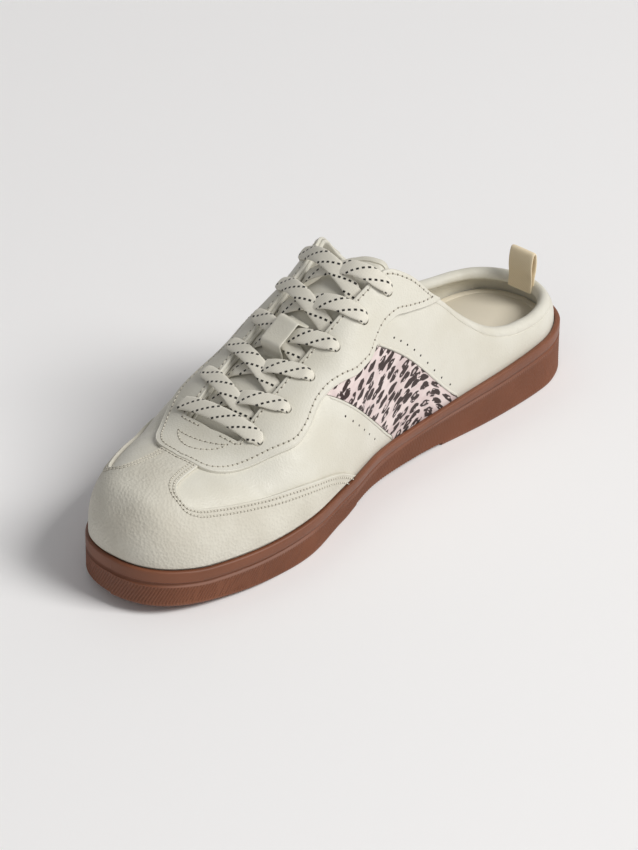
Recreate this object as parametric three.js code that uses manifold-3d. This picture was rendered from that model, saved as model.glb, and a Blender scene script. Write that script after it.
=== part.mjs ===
// A slip-on mule sneaker for the right foot: gum rubber cup sole, insole, low-heeled leather upper,
// toe overlay, eyestay, printed side panels, padded tongue with a keeper, crossed laces, heel loop.
// Millimetres. The toe points to -Y, the inner (medial) side of the foot is +X, and +Z is up.
import * as THREE from "three";
import { mergeVertices } from "three/addons/utils/BufferGeometryUtils.js";
import Module from "manifold-3d";

const wasm = await Module();
wasm.setup();

// Driving dimensions
const soleLength = 268;
const ballWidth = 93;
const heelRimHeight = 25;
const instepHeight = 92;
const toeSpring = 5;
const rimThickness = 2.4;
const clearance = 0.3;
const leather = 2.2;
const overlayThickness = 1.1;
const pocketDepth = 1.0;
const panelThickness = 0.6;
const collarPadding = 5.6;
const paddingReach = 15;
const insoleThickness = 5;
const forefootFloor = 9;
const heelFloor = 19;
const grooveDrop = 6.4;
const grooveDepth = 0.9;
const shankRecess = 1.6;
const treadDepth = 1.4;
const treadWidth = 3;
const treadPitch = 15;
const treadMargin = 7;
const eyeletRadius = 2.2;
const laceWidth = 7.8;
const laceThickness = 1.4;
const tongueThickness = 3.2;
const tongueTopThickness = 5.5;
const tongueDip = 3.5;
const tongueLean = 5;
const keeperWidth = 11;
const keeperThickness = 0.9;
const loopWidth = 13;
const loopHeight = 14.5;
const loopSeat = 5;
const loopThickness = 2.6;
const loopBulge = 1.2;

// The last, cut across its length at shares of the sole's length. half is the half width at the sole's
// rim and sweep the shift of the middle towards the inner side, both shares of the ball width; lean
// moves the ridge further that way. rim is the height of the sole's rim as a share of its height at
// the heel, and crown the height of the ridge as a share of the instep height. inner and outer are
// the powers of the two half sections, 2 for an ellipse and more for a boxier one.
const lastSections = [
  { along: 0.0, half: 0.0, sweep: 0.07, lean: 0.0, rim: 0.88, crown: 0.26, inner: 2.5, outer: 2.5 },
  { along: 0.02, half: 0.2, sweep: 0.065, lean: 0.0, rim: 0.83, crown: 0.42, inner: 2.25, outer: 2.7 },
  { along: 0.05, half: 0.285, sweep: 0.06, lean: 0.0, rim: 0.78, crown: 0.5, inner: 2.2, outer: 2.7 },
  { along: 0.1, half: 0.363, sweep: 0.052, lean: 0.0, rim: 0.73, crown: 0.525, inner: 2.15, outer: 2.7 },
  { along: 0.2, half: 0.455, sweep: 0.03, lean: 0.003, rim: 0.73, crown: 0.515, inner: 2.15, outer: 2.55 },
  { along: 0.3, half: 0.495, sweep: 0.0, lean: 0.014, rim: 0.78, crown: 0.65, inner: 2.45, outer: 2.1 },
  { along: 0.4, half: 0.475, sweep: -0.035, lean: 0.034, rim: 0.82, crown: 0.78, inner: 3.0, outer: 1.95 },
  { along: 0.5, half: 0.417, sweep: -0.045, lean: 0.07, rim: 0.85, crown: 0.985, inner: 3.4, outer: 1.95 },
  { along: 0.6, half: 0.39, sweep: -0.025, lean: 0.04, rim: 0.9, crown: 1.12, inner: 3.1, outer: 2.3 },
  { along: 0.7, half: 0.376, sweep: -0.007, lean: 0.032, rim: 0.94, crown: 0.9, inner: 2.95, outer: 2.45 },
  { along: 0.8, half: 0.365, sweep: 0.003, lean: 0.03, rim: 0.96, crown: 0.62, inner: 2.85, outer: 2.5 },
  { along: 0.9, half: 0.338, sweep: 0.006, lean: 0.03, rim: 0.98, crown: 0.51, inner: 2.75, outer: 2.5 },
  { along: 0.96, half: 0.265, sweep: 0.004, lean: 0.03, rim: 1.0, crown: 0.43, inner: 2.7, outer: 2.5 },
  { along: 1.0, half: 0.0, sweep: 0.0, lean: 0.0, rim: 1.0, crown: 0.34, inner: 2.6, outer: 2.6 },
];

// How far the sole's foot stands inside its rim, as shares of the ball width.
const soleTaper = [
  { along: 0.0, inner: -0.012, outer: -0.006 },
  { along: 0.15, inner: 0.014, outer: 0.01 },
  { along: 0.3, inner: 0.03, outer: 0.022 },
  { along: 0.45, inner: 0.062, outer: 0.018 },
  { along: 0.6, inner: 0.075, outer: 0.006 },
  { along: 0.75, inner: 0.04, outer: 0.014 },
  { along: 1.0, inner: 0.0, outer: 0.0 },
];

// Half girth of the opening at each share of the length: the throat in front, then the collar. Girth
// is 0 on the ridge and 1 at the sole's rim, by arc length.
const openingEdge = [
  { along: 0.235, inner: -0.2, outer: -0.2 },
  { along: 0.24, inner: 0.05, outer: 0.05 },
  { along: 0.244, inner: 0.235, outer: 0.24 },
  { along: 0.28, inner: 0.205, outer: 0.21 },
  { along: 0.38, inner: 0.195, outer: 0.2 },
  { along: 0.5, inner: 0.185, outer: 0.19 },
  { along: 0.557, inner: 0.2, outer: 0.2 },
  { along: 0.596, inner: 0.287, outer: 0.285 },
  { along: 0.636, inner: 0.4, outer: 0.39 },
  { along: 0.663, inner: 0.432, outer: 0.44 },
  { along: 0.719, inner: 0.535, outer: 0.53 },
  { along: 0.755, inner: 0.587, outer: 0.58 },
  { along: 0.792, inner: 0.625, outer: 0.63 },
  { along: 0.833, inner: 0.66, outer: 0.68 },
  { along: 0.875, inner: 0.665, outer: 0.69 },
  { along: 0.913, inner: 0.625, outer: 0.67 },
  { along: 0.94, inner: 0.57, outer: 0.6 },
  { along: 0.965, inner: 0.45, outer: 0.47 },
  { along: 0.978, inner: 0.25, outer: 0.25 },
  { along: 0.983, inner: -0.2, outer: -0.2 },
];

// Half girth of the eyestay's wavy outer edge.
const eyestayEdge = [
  { along: 0.15, inner: -0.3, outer: -0.3 },
  { along: 0.158, inner: 0.02, outer: 0.02 },
  { along: 0.163, inner: 0.22, outer: 0.2 },
  { along: 0.183, inner: 0.338, outer: 0.335 },
  { along: 0.206, inner: 0.393, outer: 0.4 },
  { along: 0.254, inner: 0.473, outer: 0.465 },
  { along: 0.305, inner: 0.533, outer: 0.5 },
  { along: 0.332, inner: 0.51, outer: 0.485 },
  { along: 0.374, inner: 0.443, outer: 0.42 },
  { along: 0.397, inner: 0.432, outer: 0.403 },
  { along: 0.42, inner: 0.443, outer: 0.41 },
  { along: 0.453, inner: 0.473, outer: 0.46 },
  { along: 0.482, inner: 0.473, outer: 0.474 },
  { along: 0.51, inner: 0.417, outer: 0.447 },
  { along: 0.526, inner: 0.398, outer: 0.428 },
  { along: 0.547, inner: 0.403, outer: 0.42 },
  { along: 0.578, inner: 0.438, outer: 0.437 },
  { along: 0.613, inner: 0.458, outer: 0.46 },
  { along: 0.66, inner: 0.42, outer: 0.42 },
  { along: 0.69, inner: -0.3, outer: -0.3 },
];

// Share of the length where the toe overlay ends, by girth: a stem up the middle, a cut-out on each
// side of it, and a wing that runs back along the sole.
const toeEdge = [
  { girth: 0.0, inner: 0.3, outer: 0.3 },
  { girth: 0.17, inner: 0.2, outer: 0.2 },
  { girth: 0.19, inner: 0.165, outer: 0.15 },
  { girth: 0.21, inner: 0.13, outer: 0.122 },
  { girth: 0.25, inner: 0.102, outer: 0.098 },
  { girth: 0.33, inner: 0.09, outer: 0.084 },
  { girth: 0.42, inner: 0.09, outer: 0.084 },
  { girth: 0.5, inner: 0.103, outer: 0.098 },
  { girth: 0.565, inner: 0.136, outer: 0.126 },
  { girth: 0.61, inner: 0.167, outer: 0.155 },
  { girth: 0.66, inner: 0.208, outer: 0.19 },
  { girth: 0.763, inner: 0.291, outer: 0.262 },
  { girth: 0.843, inner: 0.349, outer: 0.33 },
  { girth: 0.908, inner: 0.384, outer: 0.376 },
  { girth: 1.0, inner: 0.418, outer: 0.422 },
];

// The printed panel leans back: where its front and rear edges cross two girths.
const panelEdge = { topGirth: 0.475, frontTop: 0.397, rearTop: 0.513, frontFoot: 0.531, rearFoot: 0.68 };

// The eyelets, from the toe up.
const eyelets = [
  { along: 0.26, girth: 0.345 },
  { along: 0.322, girth: 0.335 },
  { along: 0.382, girth: 0.305 },
  { along: 0.437, girth: 0.287 },
  { along: 0.492, girth: 0.29 },
  { along: 0.548, girth: 0.284 },
];
const keptCrossing = 3;

// The tongue under the throat, as half girths, and where its top edge stands, by girth. It has worked
// its way towards the inner side, so its outer edge slants to the middle near the top.
const tongueEdge = [
  { along: 0.19, inner: -0.2, outer: -0.2 },
  { along: 0.196, inner: 0.2, outer: 0.2 },
  { along: 0.25, inner: 0.27, outer: 0.27 },
  { along: 0.44, inner: 0.26, outer: 0.26 },
  { along: 0.5, inner: 0.27, outer: 0.2 },
  { along: 0.525, inner: 0.28, outer: 0.12 },
  { along: 0.55, inner: 0.285, outer: 0.04 },
  { along: 0.6, inner: 0.28, outer: 0.02 },
];
const tongueTopEdge = [
  { girth: -0.3, along: 0.53 },
  { girth: -0.06, along: 0.546 },
  { girth: 0.0, along: 0.557 },
  { girth: 0.04, along: 0.566 },
  { girth: 0.11, along: 0.576 },
  { girth: 0.21, along: 0.589 },
  { girth: 0.26, along: 0.588 },
  { girth: 0.3, along: 0.57 },
];

// Stations run along the length so that both ends come out round.
const alongOf = (s) => (1 - Math.cos(Math.PI * s)) / 2;
const stationOf = (along) => Math.acos(1 - 2 * Math.min(Math.max(along, 0), 1)) / Math.PI;
const ramp = (v) => {
  const u = Math.min(Math.max(v, 0), 1);
  return u * u * (3 - 2 * u);
};
const sideOf = (girth) => (girth < 0 ? "outer" : "inner");

// A smooth curve through the rows of a table that never overshoots them.
function curveThrough(rows, from, column) {
  const x = rows.map(from);
  const y = rows.map((row) => row[column]);
  const step = x.slice(1).map((v, i) => v - x[i]);
  const slope = step.map((h, i) => (y[i + 1] - y[i]) / h);
  const tangent = y.map((_, i) => {
    if (i === 0) return slope[0];
    if (i === y.length - 1) return slope[i - 1];
    if (slope[i - 1] * slope[i] <= 0) return 0;
    const before = 2 * step[i] + step[i - 1];
    const after = step[i] + 2 * step[i - 1];
    return (before + after) / (before / slope[i - 1] + after / slope[i]);
  });
  return (at) => {
    let i = x.findIndex((v) => v > at) - 1;
    if (i < 0) i = at < x[0] ? 0 : x.length - 2;
    const u = Math.min(Math.max((at - x[i]) / step[i], 0), 1);
    return (
      y[i] * (1 + 2 * u) * (1 - u) ** 2 +
      step[i] * tangent[i] * u * (1 - u) ** 2 +
      y[i + 1] * u ** 2 * (3 - 2 * u) +
      step[i] * tangent[i + 1] * u ** 2 * (u - 1)
    );
  };
}

const bySection = (column) => curveThrough(lastSections, (row) => stationOf(row.along), column);
const half = bySection("half");
const sweep = bySection("sweep");
const lean = bySection("lean");
const rim = bySection("rim");
const crown = bySection("crown");
const power = { inner: bySection("inner"), outer: bySection("outer") };
const bothSides = (rows, key) => ({
  inner: curveThrough(rows, (row) => row[key], "inner"),
  outer: curveThrough(rows, (row) => row[key], "outer"),
});
const taper = bothSides(soleTaper, "along");
const opening = bothSides(openingEdge, "along");
const eyestay = bothSides(eyestayEdge, "along");
const toe = bothSides(toeEdge, "girth");
const tongueSides = bothSides(tongueEdge, "along");
const tongueTop = curveThrough(tongueTopEdge, (row) => row.girth, "along");

const rimZ = (s) => rim(s) * heelRimHeight;
const crownZ = (s) => crown(s) * instepHeight;
const floorRise = curveThrough(
  [
    { along: 0, share: 0.42 },
    { along: 0.12, share: 0.12 },
    { along: 0.3, share: 0 },
    { along: 0.5, share: 0.36 },
    { along: 0.65, share: 0.76 },
    { along: 0.8, share: 0.96 },
    { along: 1, share: 1 },
  ],
  (row) => row.along,
  "share",
);
const cupFloorZ = (s) => forefootFloor + (heelFloor - forefootFloor) * floorRise(alongOf(s));

// A point of the sole's outline seen from above; side is 1 for the inner side and -1 for the outer.
function outline(s, side, inset = 0) {
  const at = (q) => [
    ballWidth * (sweep(q) + side * half(q)),
    soleLength * (alongOf(q) - 0.5),
  ];
  const [x, y] = at(s);
  if (inset === 0) return [x, y];
  if (s < 1e-6) return [x, y + inset];
  if (s > 1 - 1e-6) return [x, y - inset];
  const [ax, ay] = at(s - 1e-3);
  const [bx, by] = at(s + 1e-3);
  const length = Math.hypot(bx - ax, by - ay);
  return [x - (side * inset * (by - ay)) / length, y + (side * inset * (bx - ax)) / length];
}

const upperInset = rimThickness + clearance;

// The half section of the last at a station, from its ridge to the sole's rim, with its arc lengths.
const halfSections = new Map();
const sectionSteps = 60;
function halfSection(s, side) {
  const key = side * (s + 1);
  if (halfSections.has(key)) return halfSections.get(key);
  const [bx, by] = outline(s, side, upperInset);
  const [ox, oy] = outline(s, -side, upperInset);
  const ridge = [(bx + ox) / 2 + lean(s) * ballWidth, (by + oy) / 2, crownZ(s)];
  const bend = 2 / power[sideOf(side)](s);
  const points = [];
  const lengths = [0];
  for (let i = 0; i <= sectionSteps; i++) {
    const angle = (Math.PI / 2) * (i / sectionSteps);
    const out = Math.sin(angle) ** bend;
    const up = Math.abs(Math.cos(angle)) ** bend;
    points.push([
      ridge[0] + (bx - ridge[0]) * out,
      ridge[1] + (by - ridge[1]) * out,
      rimZ(s) + (ridge[2] - rimZ(s)) * up,
    ]);
    if (i > 0) {
      const [p, q] = [points[i - 1], points[i]];
      lengths.push(lengths[i - 1] + Math.hypot(q[0] - p[0], q[1] - p[1], q[2] - p[2]));
    }
  }
  const made = { points, lengths, total: lengths[sectionSteps] };
  halfSections.set(key, made);
  return made;
}

// A point of the last's surface. Past the rim, girth 1 to 2 goes straight down into the cup.
function lastPoint(s, girth) {
  const { points, lengths, total } = halfSection(s, girth < 0 ? -1 : 1);
  const share = Math.abs(girth);
  if (share >= 1) {
    const [x, y, z] = points[sectionSteps];
    return [x, y, z - (share - 1) * (z - cupFloorZ(s) - clearance)];
  }
  const wanted = share * total;
  let i = 1;
  while (i < sectionSteps && lengths[i] < wanted) i++;
  const span = lengths[i] - lengths[i - 1];
  const u = span > 0 ? (wanted - lengths[i - 1]) / span : 0;
  return points[i].map((v, k) => points[i - 1][k] + (v - points[i - 1][k]) * u);
}

function normalAt(s, girth) {
  if (s < 1e-6) return new THREE.Vector3(0, -1, 0);
  if (s > 1 - 1e-6) return new THREE.Vector3(0, 1, 0);
  const flat = Math.abs(girth) > 0.99 ? Math.sign(girth) * 0.99 : girth;
  const difference = (a, b) => new THREE.Vector3(...a).sub(new THREE.Vector3(...b));
  const near = Math.min(2e-3, s / 2, (1 - s) / 2);
  const lengthwise = difference(lastPoint(s + near, flat), lastPoint(s - near, flat));
  const crosswise = difference(lastPoint(s, flat + 8e-3), lastPoint(s, flat - 8e-3));
  const normal = crosswise.cross(lengthwise);
  if (Math.abs(girth) > 0.99) normal.z = 0;
  return normal.normalize();
}

// The same point moved out along the surface's normal.
function surface(s, girth, out = 0) {
  const n = normalAt(s, girth);
  const p = lastPoint(s, girth);
  return [p[0] + n.x * out, p[1] + n.y * out, p[2] + n.z * out];
}

// Regions of the surface, as functions that are positive inside and roughly in millimetres.
const arcOf = (s, girth) => Math.max(halfSection(s, girth < 0 ? -1 : 1).total, 1);
const outsideOpening = (s, g) =>
  (Math.abs(g) - opening[sideOf(g)](alongOf(s))) * arcOf(s, g);
const insideEyestay = (s, g) => (eyestay[sideOf(g)](alongOf(s)) - Math.abs(g)) * arcOf(s, g);
const insideToe = (s, g) => (toe[sideOf(g)](Math.min(Math.abs(g), 1)) - alongOf(s)) * soleLength;
const aboveRim = (gap) => (s, g) => lastPoint(s, g)[2] - rimZ(s) - gap;
const insideTongue = (s, g) => (tongueSides[sideOf(g)](alongOf(s)) - Math.abs(g)) * arcOf(s, g);
const belowTongueTop = (s, g) => (tongueTop(g) - alongOf(s)) * soleLength;
const clearOfEyestay = (gap) => (s, g) => {
  const ahead = stationOf(alongOf(s) + gap / soleLength);
  return -Math.max(insideEyestay(s, g), insideEyestay(ahead, g)) - gap;
};
const panelLine = (top, foot) => (s, g) => {
  const { topGirth } = panelEdge;
  const along = top + ((foot - top) * (Math.abs(g) - topGirth)) / (1 - topGirth);
  return (alongOf(s) - along) * soleLength;
};
const behindPanelFront = panelLine(panelEdge.frontTop, panelEdge.frontFoot);
const behindPanelRear = panelLine(panelEdge.rearTop, panelEdge.rearFoot);

// The stations and girths that every skin shares, so that neighbouring skins stay parallel.
const stationCount = 38;
const stations = Array.from({ length: stationCount + 1 }, (_, i) => i / stationCount);
const halfGirths = [0.1, 0.2, 0.3, 0.4, 0.5, 0.61, 0.73, 0.86, 1, 2];
const girths = [...halfGirths.map((g) => -g).reverse(), 0, ...halfGirths];

// A closed solid over part of the surface, between two distances from it: the grid's triangles are
// cut by each field in turn, and the edge that is left is walled. A pocket, with fields and a depth of
// its own, is a step down in the outer side.
function skin(fields, low, high, pocket) {
  const points = new Map();
  const positions = [];
  const keyOf = (s, g) => {
    const folded = s < 1e-6 || s > 1 - 1e-6 ? Math.abs(g) : g;
    return `${s.toFixed(6)},${folded.toFixed(6)}`;
  };
  const add = (key, s, g, lowPoint, highPoint) => {
    if (!points.has(key)) {
      points.set(key, { key, s, g, lowPoint, highPoint, index: points.size });
      positions.push(points.get(key));
    }
    return points.get(key);
  };
  const node = (s, g) => {
    const key = keyOf(s, g);
    if (points.has(key)) return points.get(key);
    const at = add(key, s, g, surface(s, g, low(s, g)), surface(s, g, high(s, g)));
    at.stepPoint = pocket ? surface(s, g, pocket.high(s, g)) : at.highPoint;
    return at;
  };
  let triangles = [];
  for (let i = 0; i < stations.length - 1; i++) {
    for (let j = 0; j < girths.length - 1; j++) {
      const a = { s: stations[i], g: girths[j] };
      const b = { s: stations[i + 1], g: girths[j] };
      const c = { s: stations[i + 1], g: girths[j + 1] };
      const d = { s: stations[i], g: girths[j + 1] };
      const rising = girths[j] < 0 === i < stationCount / 2;
      triangles.push(...(rising ? [[a, d, b], [b, d, c]] : [[a, c, b], [a, d, c]]));
    }
  }
  const snap = 0.4;
  const splits = new Map();
  const edgeKey = (p, q) => [keyOf(p.s, p.g), keyOf(q.s, q.g)].sort().join(" ");
  const cut = (list, field, inside, outside) => {
    const values = new Map();
    const valueOf = (p) => {
      const key = `${p.s.toFixed(6)},${p.g.toFixed(6)}`;
      if (!values.has(key)) {
        const v = field(p.s, p.g);
        values.set(key, Math.abs(v) < snap ? 0 : v);
      }
      return values.get(key);
    };
    const crossing = (p, q) => {
      const flip = p.s > q.s || (p.s === q.s && p.g > q.g);
      const [from, to] = flip ? [q, p] : [p, q];
      let [lo, hi] = [0, 1];
      const sign = Math.sign(valueOf(from));
      const mid = (u) => ({ s: from.s + (to.s - from.s) * u, g: from.g + (to.g - from.g) * u });
      for (let k = 0; k < 24; k++) {
        const u = (lo + hi) / 2;
        const m = mid(u);
        if (Math.sign(field(m.s, m.g)) === sign) lo = u;
        else hi = u;
      }
      const u = Math.min(Math.max((lo + hi) / 2, 0.06), 0.94);
      const blend = (name) => {
        const [f, t] = [placed(from), placed(to)];
        return f[name].map((v, k) => v + (t[name][k] - v) * u);
      };
      const at = mid(u);
      const key = keyOf(at.s, at.g);
      add(key, at.s, at.g, blend("lowPoint"), blend("highPoint")).stepPoint = blend("stepPoint");
      values.set(`${at.s.toFixed(6)},${at.g.toFixed(6)}`, 0);
      splits.set(edgeKey(p, q), at);
      return at;
    };
    const placed = (p) => points.get(keyOf(p.s, p.g)) || node(p.s, p.g);
    const clip = (triangle, sign, into) => {
      const v = triangle.map((p) => sign * valueOf(p));
      if (v.every((x) => x <= 0)) return;
      const ring = [];
      for (let k = 0; k < 3; k++) {
        const [p, q] = [triangle[k], triangle[(k + 1) % 3]];
        const [vp, vq] = [v[k], v[(k + 1) % 3]];
        if (vp >= 0) ring.push(p);
        if (vp * vq < 0) ring.push(crossing(p, q));
      }
      for (let k = 1; k + 1 < ring.length; k++) into.push([ring[0], ring[k], ring[k + 1]]);
    };
    for (const triangle of list) {
      clip(triangle, 1, inside);
      if (outside) clip(triangle, -1, outside);
    }
    return inside;
  };
  for (const field of fields) triangles = cut(triangles, field, []);
  let stepped = [];
  if (pocket) {
    const around = [];
    stepped = triangles;
    splits.clear();
    for (const field of pocket.fields) stepped = cut(stepped, field, [], around);
    triangles = [];
    while (around.length) {
      const triangle = around.pop();
      const k = [0, 1, 2].find((i) => splits.has(edgeKey(triangle[i], triangle[(i + 1) % 3])));
      if (k === undefined) {
        triangles.push(triangle);
        continue;
      }
      const [p, q, r] = [triangle[k], triangle[(k + 1) % 3], triangle[(k + 2) % 3]];
      const middle = splits.get(edgeKey(p, q));
      around.push([p, middle, r], [middle, q, r]);
    }
  }
  const faces = [];
  const edges = new Map();
  const take = (list, layer) => {
    for (const triangle of list) {
      const ids = triangle.map((p) => (points.get(keyOf(p.s, p.g)) || node(p.s, p.g)).index);
      if (new Set(ids).size < 3) continue;
      faces.push([...ids, layer]);
      for (let k = 0; k < 3; k++) {
        const [p, q] = [ids[k], ids[(k + 1) % 3]];
        const twin = edges.get(`${q}_${p}`);
        if (!twin) edges.set(`${p}_${q}`, [p, q, layer]);
        else if (twin[2] === layer) edges.delete(`${q}_${p}`);
        else twin.push(layer);
      }
    }
  };
  take(triangles, "highPoint");
  take(stepped, "stepPoint");
  const used = new Map();
  const out = [];
  const vertex = (id, layer) => {
    const key = `${id}_${layer}`;
    if (!used.has(key)) {
      used.set(key, out.length / 3);
      out.push(...positions[id][layer]);
    }
    return used.get(key);
  };
  const index = [];
  for (const [a, b, c, layer] of faces) {
    index.push(vertex(a, layer), vertex(b, layer), vertex(c, layer));
    index.push(vertex(c, "lowPoint"), vertex(b, "lowPoint"), vertex(a, "lowPoint"));
  }
  for (const [p, q, layer, below = "lowPoint"] of edges.values()) {
    index.push(vertex(p, layer), vertex(p, below), vertex(q, below));
    index.push(vertex(p, layer), vertex(q, below), vertex(q, layer));
  }
  return facing(out, index);
}

// A geometry from positions and triangles, turned so that its faces point out.
function facing(positions, index) {
  let volume = 0;
  const at = (i) => new THREE.Vector3().fromArray(positions, 3 * i);
  for (let i = 0; i < index.length; i += 3) {
    volume += at(index[i]).dot(at(index[i + 1]).cross(at(index[i + 2])));
  }
  if (volume < 0) {
    for (let i = 0; i < index.length; i += 3) {
      [index[i + 1], index[i + 2]] = [index[i + 2], index[i + 1]];
    }
  }
  const geometry = new THREE.BufferGeometry();
  geometry.setAttribute("position", new THREE.Float32BufferAttribute(positions, 3));
  geometry.setIndex(index);
  return geometry;
}

function solidOf(geometry) {
  const bare = geometry.clone();
  bare.deleteAttribute("normal");
  bare.deleteAttribute("uv");
  const merged = mergeVertices(bare, 1e-5);
  const vertProperties = new Float32Array(merged.attributes.position.array);
  const triVerts = new Uint32Array(merged.index.array);
  return new wasm.Manifold(new wasm.Mesh({ numProp: 3, vertProperties, triVerts }));
}

function geometryOf(solid) {
  const mesh = solid.getMesh();
  const geometry = new THREE.BufferGeometry();
  const { numProp, vertProperties, triVerts } = mesh;
  const positions = [];
  for (let i = 0; i < vertProperties.length; i += numProp) {
    positions.push(vertProperties[i], vertProperties[i + 1], vertProperties[i + 2]);
  }
  geometry.setAttribute("position", new THREE.Float32BufferAttribute(positions, 3));
  geometry.setIndex([...triVerts]);
  return geometry;
}

// A ring of rows around the sole, each row an inset and a height, closed by a flat strip at both ends.
function ringLoft(rows) {
  const loop = [];
  for (let i = 0; i <= stationCount; i++) loop.push([stations[i], 1]);
  for (let i = stationCount - 1; i > 0; i--) loop.push([stations[i], -1]);
  const count = loop.length;
  const positions = [];
  for (const row of rows) {
    for (const [s, side] of loop) {
      const { inset, z } = row(s, side);
      const [x, y] = outline(s, side, inset);
      positions.push(x, y, z);
    }
  }
  const index = [];
  for (let r = 0; r + 1 < rows.length; r++) {
    for (let i = 0; i < count; i++) {
      const a = r * count + i;
      const b = r * count + ((i + 1) % count);
      index.push(a, b, b + count, a, b + count, a + count);
    }
  }
  const strip = (base, flip) => {
    const right = (i) => base + i;
    const left = (i) => base + ((count - i) % count);
    for (let i = 0; i < stationCount; i++) {
      const quads = [
        [right(i), left(i), left(i + 1)],
        [right(i), left(i + 1), right(i + 1)],
      ];
      for (const [a, b, c] of quads) {
        if (a === b || b === c || a === c) continue;
        if (flip) index.push(a, c, b);
        else index.push(a, b, c);
      }
    }
  };
  strip(0, false);
  strip((rows.length - 1) * count, true);
  return facing(positions, index);
}

// Sole
const soleBottomZ = (s) => {
  const along = alongOf(s);
  const spring = toeSpring * Math.max(0, 1 - along / 0.28) ** 2;
  const heelBevel = (toeSpring / 4) * ramp((along - 0.95) / 0.05);
  return spring + heelBevel;
};
const footInset = (s, side) => taper[sideOf(side)](alongOf(s)) * ballWidth;
const soleRow = (share, extra, drop) => (s, side) => ({
  inset: footInset(s, side) * share + extra,
  z: drop(s),
});
const grooveZ = (s) => rimZ(s) - grooveDrop;
const outsoleRows = [
  soleRow(1, 4.5, (s) => soleBottomZ(s)),
  soleRow(1, 0.9, (s) => soleBottomZ(s)),
  soleRow(1, 0, (s) => soleBottomZ(s) + 1),
  soleRow(0.35, 0, (s) => grooveZ(s) - 0.7),
  soleRow(0.3, grooveDepth, (s) => grooveZ(s)),
  soleRow(0.25, grooveDepth, (s) => grooveZ(s) + 0.8),
  soleRow(0.2, 0, (s) => grooveZ(s) + 1.5),
  soleRow(0, 0, (s) => rimZ(s) - 0.7),
  soleRow(0, 0.7, (s) => rimZ(s)),
  soleRow(0, rimThickness - 0.4, (s) => rimZ(s)),
  soleRow(0, rimThickness, (s) => rimZ(s) - 0.4),
  soleRow(0, rimThickness, (s) => cupFloorZ(s)),
];
const boxCutter = (x, y, z, width, depth, height) => {
  const box = new THREE.BoxGeometry(width, depth, height);
  box.translate(x, y, z);
  return solidOf(box);
};
let outsoleSolid = solidOf(ringLoft(outsoleRows));
const lengthwise = (along) => soleLength * (along - 0.5);
const shank = { from: 0.44, to: 0.66 };
outsoleSolid = outsoleSolid.subtract(
  boxCutter(
    0,
    lengthwise((shank.from + shank.to) / 2),
    0,
    2 * ballWidth,
    soleLength * (shank.to - shank.from),
    2 * shankRecess,
  ),
);
// The tread grooves stop short of the sole's edge.
const treadField = (z) => (s, side) => ({ inset: footInset(s, side) + treadMargin, z });
const treadCore = solidOf(ringLoft([treadField(-1), treadField(toeSpring + 2 * treadDepth)]));
for (const zone of [{ from: 0.17, to: 0.42 }, { from: 0.71, to: 0.93 }]) {
  const copies = Math.floor((soleLength * (zone.to - zone.from)) / treadPitch);
  for (let k = 0; k < copies; k++) {
    const y = lengthwise(zone.from) + treadPitch * (k + 0.5);
    const floor = soleBottomZ(stationOf(y / soleLength + 0.5));
    outsoleSolid = outsoleSolid.subtract(
      boxCutter(0, y, floor, 2 * ballWidth, treadWidth, 2 * treadDepth).intersect(treadCore),
    );
  }
}

const insoleInset = upperInset + leather + clearance;
const insoleTopZ = (s) => cupFloorZ(s) + clearance + insoleThickness;
const insoleRows = [
  (s) => ({ inset: insoleInset, z: cupFloorZ(s) + clearance }),
  (s) => ({ inset: insoleInset, z: insoleTopZ(s) - 1 }),
  (s) => ({ inset: insoleInset + 1, z: insoleTopZ(s) }),
];

// Upper: the collar is padded, more towards the heel, and the panels lie in pockets.
const collarLineZ = (s, g) => {
  const along = Math.min(Math.max(alongOf(s), 0.6), 0.955);
  const at = stationOf(along);
  const side = g < 0 ? -1 : 1;
  return lastPoint(at, side * opening[sideOf(g)](along))[2];
};
const wall = (s, g) => {
  const below = collarLineZ(s, g) - lastPoint(s, g)[2];
  const padded = ramp((alongOf(s) - 0.6) / 0.12) * ramp(1 - below / paddingReach);
  const share = Math.abs(g) >= 1 ? 0 : padded;
  return -(leather + (collarPadding - leather) * share);
};
const eyeletFrame = (eyelet, side) => {
  const s = stationOf(eyelet.along);
  const g = side * eyelet.girth;
  return { point: surface(s, g, 0), normal: normalAt(s, g) };
};
const eyeletCutters = [];
for (const eyelet of eyelets) {
  for (const side of [1, -1]) {
    const { point, normal } = eyeletFrame(eyelet, side);
    const pin = new THREE.CylinderGeometry(eyeletRadius, eyeletRadius, 12, 8);
    const turn = new THREE.Quaternion().setFromUnitVectors(new THREE.Vector3(0, 1, 0), normal);
    pin.applyQuaternion(turn);
    pin.translate(...point);
    eyeletCutters.push(solidOf(pin));
  }
}
const onFlank = (share) => (s, g) => (share(g) - 0.3) * arcOf(s, g);
const panelFields = (share, grow) => [
  onFlank(share),
  (s, g) => grow + behindPanelFront(s, g),
  (s, g) => grow - behindPanelRear(s, g),
  clearOfEyestay(clearance - grow),
  aboveRim(2 * clearance - grow),
];
const constant = (value) => () => value;
const pockets = { fields: panelFields(Math.abs, clearance), high: constant(-pocketDepth) };
let upperSolid = solidOf(skin([outsideOpening], wall, constant(0), pockets));
for (const cutter of eyeletCutters) upperSolid = upperSolid.subtract(cutter);

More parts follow.
